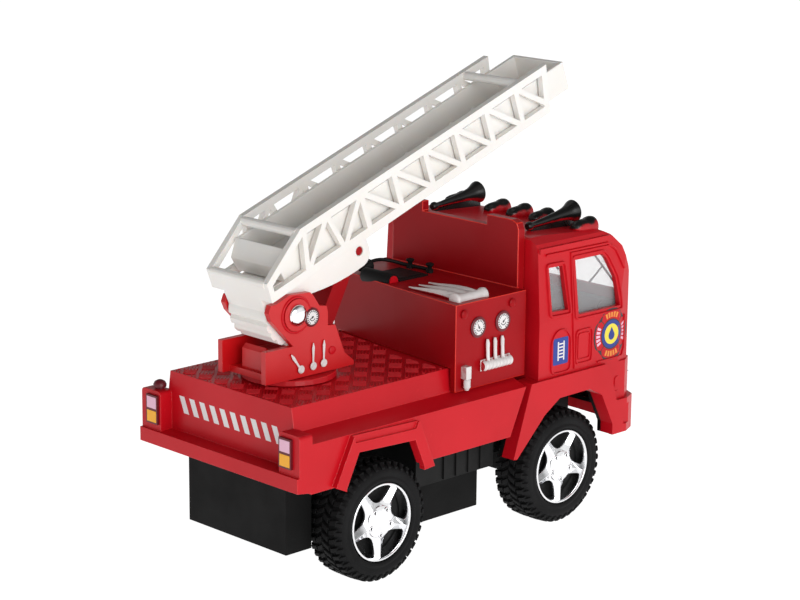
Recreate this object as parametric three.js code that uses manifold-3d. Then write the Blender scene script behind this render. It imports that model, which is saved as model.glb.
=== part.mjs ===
// Toy ladder fire engine, 1:1, in millimetres. +X runs to the cab, +Y to the left side, +Z up.
// The origin lies on the ground under the middle of the vehicle.
import * as THREE from 'three';
import { mergeVertices } from 'three/addons/utils/BufferGeometryUtils.js';
import Module from 'manifold-3d';

const wasm = await Module();
wasm.setup();

// ---------------------------------------------------------------- driving dimensions
const GAP = 0.3;
const WALL = 1.6;
const ROUND = 32;
const SIDES = [['left', 1], ['right', -1]];

const WHEEL = { radius: 20, inner: 19.1, outer: 34.4, rim: 13.2, lugs: 20, lugDepth: 1.3 };
const AXLE = { rear: -41.7, front: 44.2, height: 20, radius: 1.6, hole: 2.0 };
const BED = {
  rear: -76.3, front: 24, halfWidth: 38.4, deckHalf: 29.4, deck: 63.8, ledge: 55.3, bottom: 38.2,
};
const BUMPER = { rear: -82, bottom: 39.5, top: 44.2, front: 82 };
const FLARE_HALF = 40.4;
const PUMP = {
  rear: -8.9, crease: -5.3, leftRear: -0.6, front: 24.3, halfWidth: 33.4, bottom: 56.4, top: 85.6,
};
const BOARD = { back: 24.3, front: 26.9, halfWidth: 29.8, top: 108.4, notchHalf: 15.2, notch: 105 };
const CAB = { rear: 27.3, floor: 49.7, door: 37, fender: 38.4 };
const CHASSIS = { plate: [48, 49.4], plateHalf: 36.4, rail: [13.6, 15.2], midHalf: 26, low: 24.4 };
const GEARBOX = { rear: -73.7, step: -62.9, front: -33.7, wide: 23.8, narrow: 17.6, bottom: 13.9, top: 38.1 };
const BATTERY = { rear: -21.3, front: 12.2, halfWidth: 24, bottom: 11, cellRadius: 5.2, cellHalf: 22 };
const SWITCH = { x: 13.7, half: 2.2 };
const GEARS = { module: 0.5, backlash: 0.12, axle: 18, small: 10, large: 18, pinion: 10 };
const TURRET = { x: -51.3, radius: 15.6, plateInner: 9.4, plateOuter: 11.5, base: 66.2, post: 5.6 };
const PIVOT = { x: -58.4, z: 86.9, radius: 2.2, cap: 3.5 };
const LADDER = { x: -70.61, z: 93.28, pitch: 20.21, half: 14.6, side: 12.4, height: 16.5, bar: 6.8 };
const TRUSS = {
  rail: 2.6, foot: 3, post: 2.2, brace: 1.9, bend: 18.2, top: 137, footEnd: 134, first: 45, bay: 15.1,
};
const SLIDER = { rear: 9, end: 148, half: 11.6, wall: 1.5, floor: 3, top: 12, box: 136 };
const STRUT = { u: 43.7, v: -6.7, pin: 1.4, eye: 2.6, half: 4 };

// ---------------------------------------------------------------- colours
const RED = 0xc4161c;
const BRIGHT_RED = 0xd8211a;
const BLACK = 0x161616;
const RUBBER = 0x1d1d1e;
const WHITE = 0xece9e4;
const CHROME = 0xd8dade;

const plastic = (color, roughness = 0.35) => (
  new THREE.MeshStandardMaterial({ color, roughness, metalness: 0 })
);
const metal = (color, roughness = 0.15) => new THREE.MeshStandardMaterial({ color, roughness, metalness: 1 });

// ---------------------------------------------------------------- geometry helpers
const AXES = {
  x: [new THREE.Vector3(0, 1, 0), new THREE.Vector3(0, 0, 1), new THREE.Vector3(1, 0, 0)],
  y: [new THREE.Vector3(1, 0, 0), new THREE.Vector3(0, 0, 1), new THREE.Vector3(0, -1, 0)],
  z: [new THREE.Vector3(1, 0, 0), new THREE.Vector3(0, 1, 0), new THREE.Vector3(0, 0, 1)],
};

/** A box given by its [from, to] along each axis. */
function block(x, y, z) {
  const box = new THREE.BoxGeometry(x[1] - x[0], y[1] - y[0], z[1] - z[0]);
  return box.translate((x[0] + x[1]) / 2, (y[0] + y[1]) / 2, (z[0] + z[1]) / 2);
}

/** An outline of [a, b] points, or a Shape, extruded along x (taking y, z), y (x, z) or z (x, y). */
function prism(axis, outline, from, to, curveSegments = 6) {
  const fromPoints = () => new THREE.Shape(outline.map(([a, b]) => new THREE.Vector2(a, b)));
  const shape = outline instanceof THREE.Shape ? outline : fromPoints();
  const solid = new THREE.ExtrudeGeometry(shape, { depth: to - from, bevelEnabled: false, curveSegments });
  const [right, up, out] = AXES[axis];
  solid.applyMatrix4(new THREE.Matrix4().makeBasis(right, up, out));
  const start = axis === 'y' ? -to : from;
  return solid.translate(out.x * start, out.y * start, out.z * start);
}

/** A round bar or cone along an axis, centred on the other two coordinates. */
function rod(axis, centre, from, to, radius, endRadius = radius, sides = 24) {
  const bar = new THREE.CylinderGeometry(endRadius, radius, to - from, sides);
  bar.translate(0, (from + to) / 2, 0);
  const [a, b] = centre;
  if (axis === 'x') return bar.rotateZ(-Math.PI / 2).translate(0, a, b);
  if (axis === 'y') return bar.translate(a, 0, b);
  return bar.rotateX(Math.PI / 2).translate(a, b, 0);
}

/** A turned body: profile points are [radius, position along the axis], closed on the axis or on itself. */
function turned(axis, centre, profile, sides = ROUND) {
  const body = new THREE.LatheGeometry(profile.map(([r, h]) => new THREE.Vector2(r, h)), sides);
  const [a, b] = centre;
  if (axis === 'x') return body.rotateZ(-Math.PI / 2).translate(0, a, b);
  if (axis === 'y') return body.translate(a, 0, b);
  return body.rotateX(Math.PI / 2).translate(a, b, 0);
}

/** The two ends of a span across the vehicle, on its left (1) or right (-1) side. */
const onSide = (side, inner, outer) => [inner * side, outer * side].sort((a, b) => a - b);

function toSolid(geometry) {
  const bare = new THREE.BufferGeometry();
  bare.setAttribute('position', geometry.attributes.position);
  bare.setIndex(geometry.index);
  const merged = mergeVertices(bare, 1e-4);
  const vertProperties = Float32Array.from(merged.attributes.position.array);
  const triVerts = Uint32Array.from(merged.index.array);
  return new wasm.Manifold(new wasm.Mesh({ numProp: 3, vertProperties, triVerts }));
}

function toGeometry(solid) {
  const mesh = solid.getMesh();
  const geometry = new THREE.BufferGeometry();
  geometry.setAttribute('position', new THREE.BufferAttribute(Float32Array.from(mesh.vertProperties), 3));
  geometry.setIndex(new THREE.BufferAttribute(Uint32Array.from(mesh.triVerts), 1));
  return geometry;
}

const combine = (how, pieces) => toGeometry(pieces.map(toSolid).reduce((a, b) => a[how](b)));
const join = (...pieces) => combine('add', pieces);
const cut = (...pieces) => combine('subtract', pieces);
const common = (...pieces) => combine('intersect', pieces);

const mirrorY = (points) => [...points, ...points.map(([y, z]) => [-y, z]).reverse()];
const mirrorPlan = (points) => [...points, ...points.map(([x, y]) => [x, -y]).reverse()];
const polar = (radius, angle) => [radius * Math.cos(angle), radius * Math.sin(angle)];

const engine = new THREE.Group();
const turret = new THREE.Group();
const ladder = new THREE.Group();
ladder.position.set(LADDER.x, 0, LADDER.z);
ladder.rotation.y = -THREE.MathUtils.degToRad(LADDER.pitch);
engine.add(turret, ladder);

function place(name, geometry, material, group = engine) {
  const mesh = new THREE.Mesh(geometry, material);
  mesh.name = name;
  group.add(mesh);
}

// ---------------------------------------------------------------- wheels and axles
/** Tyre standing along Y between two distances from the centre line, with block tread. */
function tyre(x, from, to) {
  const outline = [];
  const step = (2 * Math.PI) / WHEEL.lugs;
  for (let lug = 0; lug < WHEEL.lugs; lug += 1) {
    for (const [part, depth] of [[0, 0], [0.56, 0], [0.64, WHEEL.lugDepth], [0.92, WHEEL.lugDepth]]) {
      outline.push(polar(WHEEL.radius - depth, (lug + part) * step));
    }
  }
  const shoulder = 2.4;
  const ring = turned('y', [0, 0], [
    [WHEEL.rim, from], [WHEEL.radius - shoulder, from], [WHEEL.radius, from + shoulder],
    [WHEEL.radius, to - shoulder], [WHEEL.radius - shoulder, to], [WHEEL.rim, to], [WHEEL.rim, from],
  ], 30);
  return common(ring, prism('y', outline, from, to)).translate(x, 0, AXLE.height);
}

/** Chromed five-spoke wheel: a hub sleeve, a dished star and an outer ring round a solid web. */
function rim(x, side) {
  const radius = WHEEL.rim - 0.2;
  const near = WHEEL.inner;
  const far = WHEEL.outer - 0.5;
  const drum = turned('y', [0, 0], [
    [0, near], [radius, near], [radius, far], [radius - 1.3, far], [radius - 2.1, far - 3.4], [0, far - 3.4],
  ], 24);
  const spokes = [];
  for (let spoke = 0; spoke < 5; spoke += 1) {
    const turn = (spoke * 2 * Math.PI) / 5 - Math.PI / 2;
    const outline = [[0, -2.6], [radius - 1.2, -1.7], [radius - 1.2, 1.7], [0, 2.6]];
    const arm = prism('y', outline, far - 3.6, far - 0.9);
    spokes.push(arm.rotateY(-turn));
  }
  const hub = rod('y', [0, 0], far - 3.6, far - 0.4, 4.2, 3.6);
  const wheel = cut(join(drum, ...spokes, hub), rod('y', [0, 0], near - 1, far - 2.6, AXLE.radius + 0.1));
  if (side < 0) wheel.rotateZ(Math.PI);
  return wheel.translate(x, 0, AXLE.height);
}

for (const [end, x] of [['front', AXLE.front], ['rear', AXLE.rear]]) {
  for (const [side, sign] of SIDES) {
    place(`tyre_${end}_${side}`, tyre(x, ...onSide(sign, WHEEL.inner, WHEEL.outer)), plastic(RUBBER, 0.8));
    place(`rim_${end}_${side}`, rim(x, sign), metal(CHROME));
  }
  const reach = WHEEL.outer - 3.3;
  const bar = rod('y', [x, AXLE.height], -reach, reach, AXLE.radius, AXLE.radius, 16);
  place(`axle_${end}`, bar, metal(0xb8babd, 0.3));
}

// ---------------------------------------------------------------- drive: motor, gears and gearbox case
const INVOLUTE_ANGLE = THREE.MathUtils.degToRad(20);
const involute = (angle) => Math.tan(angle) - angle;

/** Spur gear outline with one tooth centred on the given direction. */
function gearOutline(teeth, direction) {
  const pitch = (teeth * GEARS.module) / 2;
  const base = pitch * Math.cos(INVOLUTE_ANGLE);
  const tip = pitch + 0.85 * GEARS.module;
  const root = pitch - 1.3 * GEARS.module;
  const half = Math.PI / (2 * teeth) - GEARS.backlash / (2 * pitch) + involute(INVOLUTE_ANGLE);
  const flank = [root, ...[0.1, 0.55, 1].map((t) => base + t * (tip - base))];
  const outline = [];
  for (let tooth = 0; tooth < teeth; tooth += 1) {
    const middle = direction + (tooth * 2 * Math.PI) / teeth;
    const spread = (r) => half - involute(Math.acos(Math.min(1, base / r)));
    for (const r of flank) outline.push(polar(r, middle - spread(r)));
    for (const r of [...flank].reverse()) outline.push(polar(r, middle + spread(r)));
  }
  return outline;
}

function gear(teeth, direction, x, z, from, to) {
  return prism('y', gearOutline(teeth, direction), from, to).translate(x, 0, z);
}

const GEAR_ROW = { axle: [6.6, 9.4], large: [10.2, 12.4] };
const IDLER_DIRECTION = (3 * Math.PI) / 4;
const IDLER_DISTANCE = ((GEARS.axle + GEARS.small) * GEARS.module) / 2;
const IDLER_X = AXLE.rear + IDLER_DISTANCE * Math.cos(IDLER_DIRECTION);
const IDLER_Z = AXLE.height + IDLER_DISTANCE * Math.sin(IDLER_DIRECTION);
const MOTOR_X = IDLER_X - ((GEARS.large + GEARS.pinion) * GEARS.module) / 2;
const MOTOR = { radius: 9.6, flat: 7.6, rear: -15.4, face: 4.6 };

function axleGear() {
  const wheel = gear(GEARS.axle, IDLER_DIRECTION, AXLE.rear, AXLE.height, ...GEAR_ROW.axle);
  return cut(wheel, rod('y', [AXLE.rear, AXLE.height], 0, 15, AXLE.radius + 0.1, AXLE.radius + 0.1, 16));
}

function idlerGear() {
  const gapHere = IDLER_DIRECTION + Math.PI + Math.PI / GEARS.small;
  const small = gear(GEARS.small, gapHere, IDLER_X, IDLER_Z, GEAR_ROW.axle[0], GEAR_ROW.large[0] + 0.2);
  const large = gear(GEARS.large, Math.PI, IDLER_X, IDLER_Z, ...GEAR_ROW.large);
  return join(small, large, rod('y', [IDLER_X, IDLER_Z], 5.4, 15.6, 0.9, 0.9, 12));
}

function motorPinion() {
  const wheel = gear(GEARS.pinion, Math.PI / GEARS.pinion, MOTOR_X, IDLER_Z, ...GEAR_ROW.large);
  return join(wheel, rod('y', [MOTOR_X, IDLER_Z], MOTOR.face + GAP, GEAR_ROW.large[1] + 0.2, 0.8, 0.8, 12));
}

function motorCan() {
  const can = rod('y', [MOTOR_X, IDLER_Z], MOTOR.rear, MOTOR.face, MOTOR.radius);
  const flats = block([MOTOR_X - 12, MOTOR_X + 12], [-20, 20], [IDLER_Z - MOTOR.flat, IDLER_Z + MOTOR.flat]);
  return common(can, flats);
}

/** Open-topped tub behind and round the rear axle, wide behind the wheels and narrow between them. */
function gearboxCase() {
  const plan = (inset) => [
    [GEARBOX.rear + inset, -GEARBOX.wide + inset], [GEARBOX.step - inset, -GEARBOX.wide + inset],
    [GEARBOX.step - inset, -GEARBOX.narrow + inset], [GEARBOX.front - inset, -GEARBOX.narrow + inset],
    [GEARBOX.front - inset, GEARBOX.narrow - inset], [GEARBOX.step - inset, GEARBOX.narrow - inset],
    [GEARBOX.step - inset, GEARBOX.wide - inset], [GEARBOX.rear + inset, GEARBOX.wide - inset],
  ];
  const wall = 1;
  const shell = prism('z', plan(0), GEARBOX.bottom, GEARBOX.top);
  const room = prism('z', plan(wall), GEARBOX.bottom + wall, GEARBOX.top + 1);
  const axleHole = rod('y', [AXLE.rear, AXLE.height], -30, 30, AXLE.hole, AXLE.hole, 16);
  const bearing = block(
    [IDLER_X - 2.6, IDLER_X + 2.6], [13.6, GEARBOX.narrow - 0.5], [IDLER_Z - 2.6, GEARBOX.top - 1],
  );
  const web = block([GEARBOX.step + 3, GEARBOX.front - 0.5], [4.9, 5.2], [GEARBOX.bottom + 0.5, 16.2]);
  const bores = rod('y', [IDLER_X, IDLER_Z], 5, 15.9, 1.15, 1.15, 12);
  const saddle = block(
    [MOTOR_X - 4, MOTOR_X + 4], [-12, 2], [GEARBOX.bottom + 0.5, IDLER_Z - MOTOR.flat - GAP],
  );
  return cut(join(cut(shell, room), bearing, web, saddle), axleHole, bores);
}

place('gearbox_case', gearboxCase(), plastic(BLACK, 0.5));
place('motor', motorCan(), metal(0xb9bcc0, 0.35));
place('motor_pinion', motorPinion(), metal(0xc9a227, 0.35));
place('idler_gear', idlerGear(), plastic(WHITE));
place('axle_gear', axleGear(), plastic(WHITE));

// ---------------------------------------------------------------- chassis and battery box
const SEAM = 0.05;
const MIDDLE = { rear: -19, front: 17.7, wall: 1.6, floor: 1.4 };
const CARRIER = { half: 6, halfWidth: 15.2, bottom: 14.5 };
const RAIL_TOP = CHASSIS.plate[0] - SEAM;

/** Deck plate over the wheels, narrower ahead of them, with a window for the motor's wires. */
function chassisPlate() {
  const [under, upper] = CHASSIS.plate;
  const deck = block([-73.4, 10], [-CHASSIS.plateHalf, CHASSIS.plateHalf], [under, upper]);
  const frontDeck = block([9, 66], [-31, 31], [under, upper]);
  const wireWindow = block([-60, -30], [-9, 9], [under - 1, upper + 1]);
  return cut(join(deck, frontDeck), wireWindow);
}

/** Side rail between the deck plate and the gearbox case. */
function rearRail(side) {
  return block([-73, MIDDLE.rear - SEAM], onSide(side, ...CHASSIS.rail), [GEARBOX.top + GAP, RAIL_TOP]);
}

/** Open-topped box between the axles for the wiring, with upright ribs outside. */
function middleBox() {
  const { rear, front, wall, floor } = MIDDLE;
  const half = CHASSIS.midHalf;
  const shell = block([rear, front], [-half, half], [CHASSIS.low, RAIL_TOP]);
  const room = block(
    [rear + wall, front - wall], [-half + wall, half - wall], [CHASSIS.low + floor, RAIL_TOP + 1],
  );
  const ribs = [];
  for (let x = -6.5; x < 16; x += 5.8) {
    for (const y of [-half - 0.6, half - 0.4]) {
      ribs.push(block([x, x + 1.2], [y, y + 1], [CHASSIS.low + 0.4, 36]));
    }
  }
  const vents = block([-12, 12], [-10, 10], [CHASSIS.low - 1, CHASSIS.low + 3]);
  const slotHalf = 1.5;
  const switchSlot = block(
    [SWITCH.x - slotHalf, SWITCH.x + slotHalf], [-4.2, 4.2], [CHASSIS.low - 1, CHASSIS.low + 3],
  );
  return cut(join(cut(shell, room), ...ribs), vents, switchSlot);
}

/** Battery box hung under the middle box, open below for its door. */
function batteryBox() {
  const { rear, front, halfWidth, bottom } = BATTERY;
  const top = CHASSIS.low - SEAM;
  const wall = 1.2;
  const shell = block([rear, front], [-halfWidth, halfWidth], [bottom, top]);
  const room = block(
    [rear + wall, front - wall], [-halfWidth + wall, halfWidth - wall], [bottom - 1, CHASSIS.low - 1],
  );
  return cut(shell, room, block([-12, 11], [-10, 10], [bottom, top + 1]));
}

/** Box that carries the front axle, open below, with rails from the middle box to the nose. */
function axleCarrier() {
  const { half, halfWidth, bottom } = CARRIER;
  const { front, height, hole } = AXLE;
  const shell = block([front - half, front + half], [-halfWidth, halfWidth], [bottom, RAIL_TOP]);
  const rails = [-1, 1].map((side) => {
    return block([MIDDLE.front + SEAM, 60], onSide(side, ...CHASSIS.rail), [GEARBOX.top + GAP, RAIL_TOP]);
  });
  const room = block(
    [front - half + 1.5, front + half - 1.5], [-halfWidth + MIDDLE.wall, halfWidth - MIDDLE.wall],
    [bottom - 1, RAIL_TOP - 1.5],
  );
  return cut(join(shell, ...rails), room, rod('y', [front, height], -30, 30, hole, hole, 16));
}

place('chassis', chassisPlate(), plastic(BLACK, 0.5));
place('middle_box', middleBox(), plastic(BLACK, 0.5));
place('battery_box', batteryBox(), plastic(BLACK, 0.5));
place('axle_carrier', axleCarrier(), plastic(BLACK, 0.5));
place('rail_left', rearRail(1), plastic(BLACK, 0.5));
place('rail_right', rearRail(-1), plastic(BLACK, 0.5));

const DOOR_Z = [BATTERY.bottom + 0.05, BATTERY.bottom + 1.25];
const door = block(
  [BATTERY.rear + 1.5, BATTERY.front - 1.5], [-BATTERY.halfWidth + 1.5, BATTERY.halfWidth - 1.5], DOOR_Z,
);
const screwX = BATTERY.front - 4;
const screwHole = rod('z', [screwX, 0], BATTERY.bottom - 1, BATTERY.bottom + 2, 1.7, 1.7, 16);
place('battery_door', cut(door, screwHole), plastic(BLACK, 0.5));

for (let cell = 0; cell < 3; cell += 1) {
  const x = BATTERY.rear + 1.6 + BATTERY.cellRadius + cell * (2 * BATTERY.cellRadius - 0.3 + 0.05);
  const flip = cell % 2 ? -1 : 1;
  const can = [
    [0, -BATTERY.cellHalf], [5, -BATTERY.cellHalf], [5, 20.8], [1.9, 20.8], [1.9, 21.8], [0, 21.8],
  ];
  const battery = turned('y', [0, 0], can, 20);
  if (flip < 0) battery.rotateX(Math.PI);
  place(`battery_cell_${cell + 1}`, battery.translate(x, 0, DOOR_Z[1] + 5.3), plastic(0x2f5f8f, 0.4));
}

/** Slide switch: a plate over the floor of the middle box with its knob through the slot. */
function powerSwitch() {
  const { x, half } = SWITCH;
  const low = CHASSIS.low;
  const plate = block([x - half, x + half], [-4.6, -0.2], [low + 1.6, low + 2.8]);
  return join(plate, block([x - 1.2, x + 1.2], [-3.9, -0.9], [low - 1.2, low + 1.7]));
}

place('power_switch', powerSwitch(), plastic(WHITE));

// ---------------------------------------------------------------- bed
/** A thick slab standing on a plane through three points, on the side the normal points to. */
function halfSpace(a, b, c, size = 200) {
  const [p, q, r] = [a, b, c].map((point) => new THREE.Vector3(...point));
  const normal = new THREE.Vector3().crossVectors(q.clone().sub(p), r.clone().sub(p)).normalize();
  const slab = new THREE.BoxGeometry(size, size, size).translate(0, 0, size / 2);
  slab.applyQuaternion(new THREE.Quaternion().setFromUnitVectors(new THREE.Vector3(0, 0, 1), normal));
  return slab.translate(p.x, p.y, p.z);
}

const REAR_ARCH = [[-63.1, 30], [-63.1, 37.5], [-57.9, 48.3], [-33.5, 47.2], [-29.3, 37.5], [-29.3, 30]];
const REAR_FLARE = [[-67.6, 38.7], [-60, 53.9], [-31.6, 53.1], [-24.6, 36.8], [-29.3, 36.4], [-63.1, 36.6]];

const FLARE_SHELF = [[-60.5, 55], [-59.4, 51.6], [-33.2, 50.9], [-31, 55]];

/** Bed moulding: raised deck, outward ledge, skirts with flared arches, rear step and lamp posts. */
function bed() {
  const section = (inset) => mirrorY([
    [-BED.halfWidth + inset, inset ? 20 : BED.bottom], [-BED.halfWidth + inset, BED.ledge - 1.2 - inset],
    [-BED.deckHalf - 1.2 + inset, BED.ledge + 0.8 - inset], [-BED.deckHalf + inset, BED.deck - inset],
  ]);
  const shell = cut(
    prism('x', section(0), BED.rear, BED.front),
    prism('x', section(WALL), BED.rear + WALL, BED.front - WALL),
    halfSpace([12.7, 40, BED.bottom], [20.5, 40, BED.ledge], [12.7, -40, BED.bottom]),
  );
  const step = prism('y', [
    [BUMPER.rear, BUMPER.bottom], [BUMPER.rear, BUMPER.top], [BED.rear + 0.5, BUMPER.top + 0.4],
    [BED.rear + 0.5, BED.bottom + 0.4],
  ], -BED.halfWidth, BED.halfWidth);
  const posts = [-1, 1].map((side) => {
    const outline = new THREE.Shape();
    const [inner, outer] = [28.8 * side, BED.halfWidth * side];
    outline.moveTo(inner, BUMPER.top - 1);
    outline.lineTo(outer, BUMPER.top - 1);
    outline.lineTo(outer, 56);
    outline.quadraticCurveTo(outer, 57.4, outer - 1.4 * side, 57.4);
    outline.lineTo(inner + 1.4 * side, 57.4);
    outline.quadraticCurveTo(inner, 57.4, inner, 56);
    return prism('x', outline, -81, BED.rear + 0.6, 4);
  });
  const bands = [-1, 1].map((side) => {
    const span = onSide(side, BED.halfWidth - 0.4, FLARE_HALF);
    const shelf = prism('y', FLARE_SHELF, ...onSide(side, FLARE_HALF - 0.8, FLARE_HALF + 1));
    return cut(prism('y', REAR_FLARE, ...span), shelf);
  });
  const arch = prism('y', REAR_ARCH, -50, 50);
  const bore = TURRET.post + GAP;
  const pivotHole = rod('z', [TURRET.x, 0], BED.deck - 5, BED.deck + 5, bore, bore, ROUND);
  return cut(join(shell, step, ...posts, ...bands), arch, pivotHole);
}

place('bed', bed(), plastic(RED));

for (const [side, sign] of SIDES) {
  const lamp = block([BUMPER.rear + 0.3, -81.05], onSide(sign, 29.9, 34.9), [47, 55.4]);
  place(`tail_lamp_${side}`, lamp, plastic(0xe8a0b4));
}

// ---------------------------------------------------------------- pump housing
/** Pump housing that straddles the deck, with the tall notched headboard the ladder rests on. */
function pumpHousing() {
  const { rear, crease, leftRear, front, halfWidth, bottom, top } = PUMP;
  const tunnelHalf = BED.deckHalf + 1.2 + GAP;
  const plan = (inset) => [
    [rear + inset, -halfWidth + inset], [front - inset, -halfWidth + inset],
    [front - inset, halfWidth - inset], [leftRear + 5 * inset, halfWidth - inset], [crease + inset, -1],
  ];
  const outer = prism('z', plan(0), bottom, top);
  const facet = halfSpace(
    [leftRear, halfWidth, 74], [leftRear - 1.5, 24.1, top], [leftRear + 12, halfWidth, top],
  );
  const tunnel = block([rear - 5, front + 5], [-tunnelHalf, tunnelHalf], [bottom - 5, BED.deck + GAP]);
  const room = prism('z', plan(WALL), BED.deck - 3, top - WALL);
  const board = prism('x', mirrorY([
    [-BOARD.halfWidth, bottom + 4], [-BOARD.halfWidth, BOARD.top - 3],
    [-BOARD.halfWidth + 0.9, BOARD.top - 0.9], [-BOARD.halfWidth + 3, BOARD.top],
    [-BOARD.notchHalf, BOARD.top], [-BOARD.notchHalf, BOARD.notch],
  ]), BOARD.back - 0.5, BOARD.front);
  const boardLow = block(
    [BOARD.back - 1, BOARD.front + 1], [-tunnelHalf, tunnelHalf], [bottom - 1, BED.deck + GAP],
  );
  const facetRoom = halfSpace(
    [leftRear + 3, halfWidth, 72], [leftRear + 1, 22.6, top], [leftRear + 15, halfWidth, top],
  );
  return join(cut(outer, facet, tunnel, cut(room, facetRoom)), cut(board, boardLow));
}

place('pump_housing', pumpHousing(), plastic(BRIGHT_RED));

const PANEL_SHIFT = { left: 6.4, right: 0 };
const GAUGE = { face: 3.1, back: 3.5, depth: 0.7 };
const TURRET_GAUGE = { face: 2.7, back: 3.1, x: -51.9, z: 85.1 };
/** Round dial standing off a side wall at y, facing outward. */
function dial(x, z, y, side, { face, back } = GAUGE) {
  const near = side > 0 ? y : -y - GAUGE.depth;
  const far = near + GAUGE.depth;
  return side > 0 ? rod('y', [x, z], near, far, back, face) : rod('y', [x, z], near, far, face, back);
}

/** Three valve levers rising from a ribbed bar on the side panel. */
function leverBank(side) {
  const near = PUMP.halfWidth + 0.05;
  const span = (depth) => onSide(side, near, near + depth);
  const plate = block([2.4, 16], span(0.9), [62, 65.4]);
  const bar = rod('x', [(near + 1.2) * side, 63.7], 2.4, 16, 1.7, 1.7, 12);
  const barHalf = common(bar, block([0, 20], span(4), [60, 68]));
  const levers = [5.3, 8.8, 12.3].map((x) => block([x - 0.8, x + 0.8], span(1.3), [64, 72.4]));
  return join(plate, barHalf, ...levers);
}

/** Small hose outlet with a collar, on the ledge side of the panel. */
function outlet(side) {
  const y = (PUMP.halfWidth + 1.5) * side;
  const centre = [-5, y];
  return join(
    rod('z', centre, 60.6, 65, 1.3, 1.3, 12),
    rod('z', centre, 57.4, 61, 1.4, 1.4, 12),
    rod('z', centre, 58.6, 60.2, 1.42, 1.42, 12),
  );
}

for (const [side, sign] of SIDES) {
  const wall = PUMP.halfWidth + 0.05;
  const shift = PANEL_SHIFT[side];
  place(`pump_gauge_${side}_1`, dial(1.4 + shift, 76.8, wall, sign), plastic(WHITE));
  place(`pump_gauge_${side}_2`, dial(13 + shift, 76.9, wall, sign), plastic(WHITE));
  place(`pump_levers_${side}`, leverBank(sign).translate(shift, 0, 0), plastic(WHITE));
  place(`hose_outlet_${side}`, outlet(sign).translate(shift, 0, 0), plastic(WHITE));
}

/** White manifold on the housing roof: a half-sunk cylinder with three tapering branches. */
function manifold() {
  const floor = PUMP.top + 0.05;
  const above = block([-20, 40], [-40, 10], [floor, 100]);
  const pipe = rod('x', [-29, PUMP.top + 0.6], -4.6, 8.4, 2.1, 2.1, 16);
  const collars = [-4.6, 7].map((x) => rod('x', [-29, PUMP.top + 0.6], x, x + 1.4, 2.5, 2.5, 16));
  const branches = [-2.6, 1.8, 6.3].map((x) => {
    const branch = rod('y', [0, 0], 0, 21.5, 1.5, 0.5, 10);
    return branch.translate(x, -28.5, PUMP.top + 0.5);
  });
  return common(join(pipe, ...collars, ...branches), above);
}

/** Black locker lid with the half-round hose roll beside it. */
function hoseLocker() {
  const floor = PUMP.top + 0.05;
  const lid = block([1.2, 15], [3, 17], [floor, floor + 1]);
  const coil = rod('y', [-1.2, floor + 0.6], 3, 17.8, 2.6, 2.6, 16);
  const roll = common(coil, block([-8, 8], [0, 20], [floor, 99]));
  return join(lid, roll);
}

/** Black branch pipe: bell nozzle at the rear, hose arching to two couplings. */
function branchPipe() {
  const floor = PUMP.top + 0.05;
  const path = new THREE.CatmullRomCurve3([
    new THREE.Vector3(0.5, 22, floor + 0.9), new THREE.Vector3(7, 22.4, floor + 2.6),
    new THREE.Vector3(13, 21, floor + 2.2), new THREE.Vector3(18.2, 15.5, floor + 1.2),
    new THREE.Vector3(18.6, 10, floor + 1), new THREE.Vector3(18.6, 5.4, floor + 1),
  ]);
  const corners = Array.from({ length: 8 }, (_, i) => new THREE.Vector2(...polar(1, (i * Math.PI) / 4)));
  const ring = new THREE.Shape(corners);
  const hose = new THREE.ExtrudeGeometry(ring, { extrudePath: path, steps: 14, bevelEnabled: false });
  const bell = rod('x', [22, floor + 1.6], 0.2, 6.5, 0.9, 2.6, 12);
  const knobs = [15.5, 6].map((y) => rod('z', [18.4, y], floor, floor + 3.2, 1.5, 1.2, 12));
  return common(join(hose, bell, ...knobs), block([-5, 22], [0, 30], [floor, 99]));
}

place('manifold', manifold(), plastic(WHITE));
place('hose_locker', hoseLocker(), plastic(BLACK));
place('branch_pipe', branchPipe(), plastic(BLACK));

// ---------------------------------------------------------------- cab
/** Cab body inside its outer skin: the side, front and plan outlines intersected, moved in by an inset. */
function cabVolume(inset) {
  const side = [
    [CAB.rear + inset, inset ? 0 : CAB.floor], [CAB.rear + inset, 101.7 - inset],
    [CAB.rear + 1 + inset, 102.5 - inset], [60, 101 - inset], [64 - inset, 99.2 - inset],
    [69.9 - inset, 94.4 - inset / 2], [73.9 - inset, 86.6],
    [77.1 - inset, 75], [78.2 - inset, 65.2], [79.6 - inset, inset ? 0 : CAB.floor],
  ];
  const front = mirrorY([
    [-CAB.door + inset, 0], [-CAB.door + inset, 74], [-35.6 + inset, 98.4 - inset],
    [-34.6 + inset, 100.4 - inset],
    [-31 + inset, 102.2 - inset], [-20, 103 - inset],
  ]);
  const plan = mirrorPlan([
    [0, -60], [68 - inset, -60], [68 - inset, -CAB.door + inset], [74.4 - inset, -35.4 + inset],
    [78.4 - inset, -31 + inset], [80 - inset, -22 + inset], [80.6 - inset, -10],
  ]);
  return common(prism('y', side, -50, 50), prism('x', front, 0, 100), prism('z', plan, -5, 110));
}

const FRONT_ARCH = [
  [16.2, 20], [16.2, 29.5], [29.6, 42.4], [36.9, 46.9], [52.2, 47.1], [58.6, 43.8], [64.7, 32.1], [64.7, 20],
];
const DOOR_WINDOW = [[46.9, 74], [68.4, 73.8], [66, 84], [61.4, 91.4], [59.4, 92.9], [45.6, 92.9]];
const QUARTER_WINDOW = [[33.6, 77], [41.7, 76.6], [39.1, 92], [32.4, 92.2]];
const WINDSHIELD = mirrorY([[-31.4, 77], [-29.4, 93.6]]);

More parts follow.
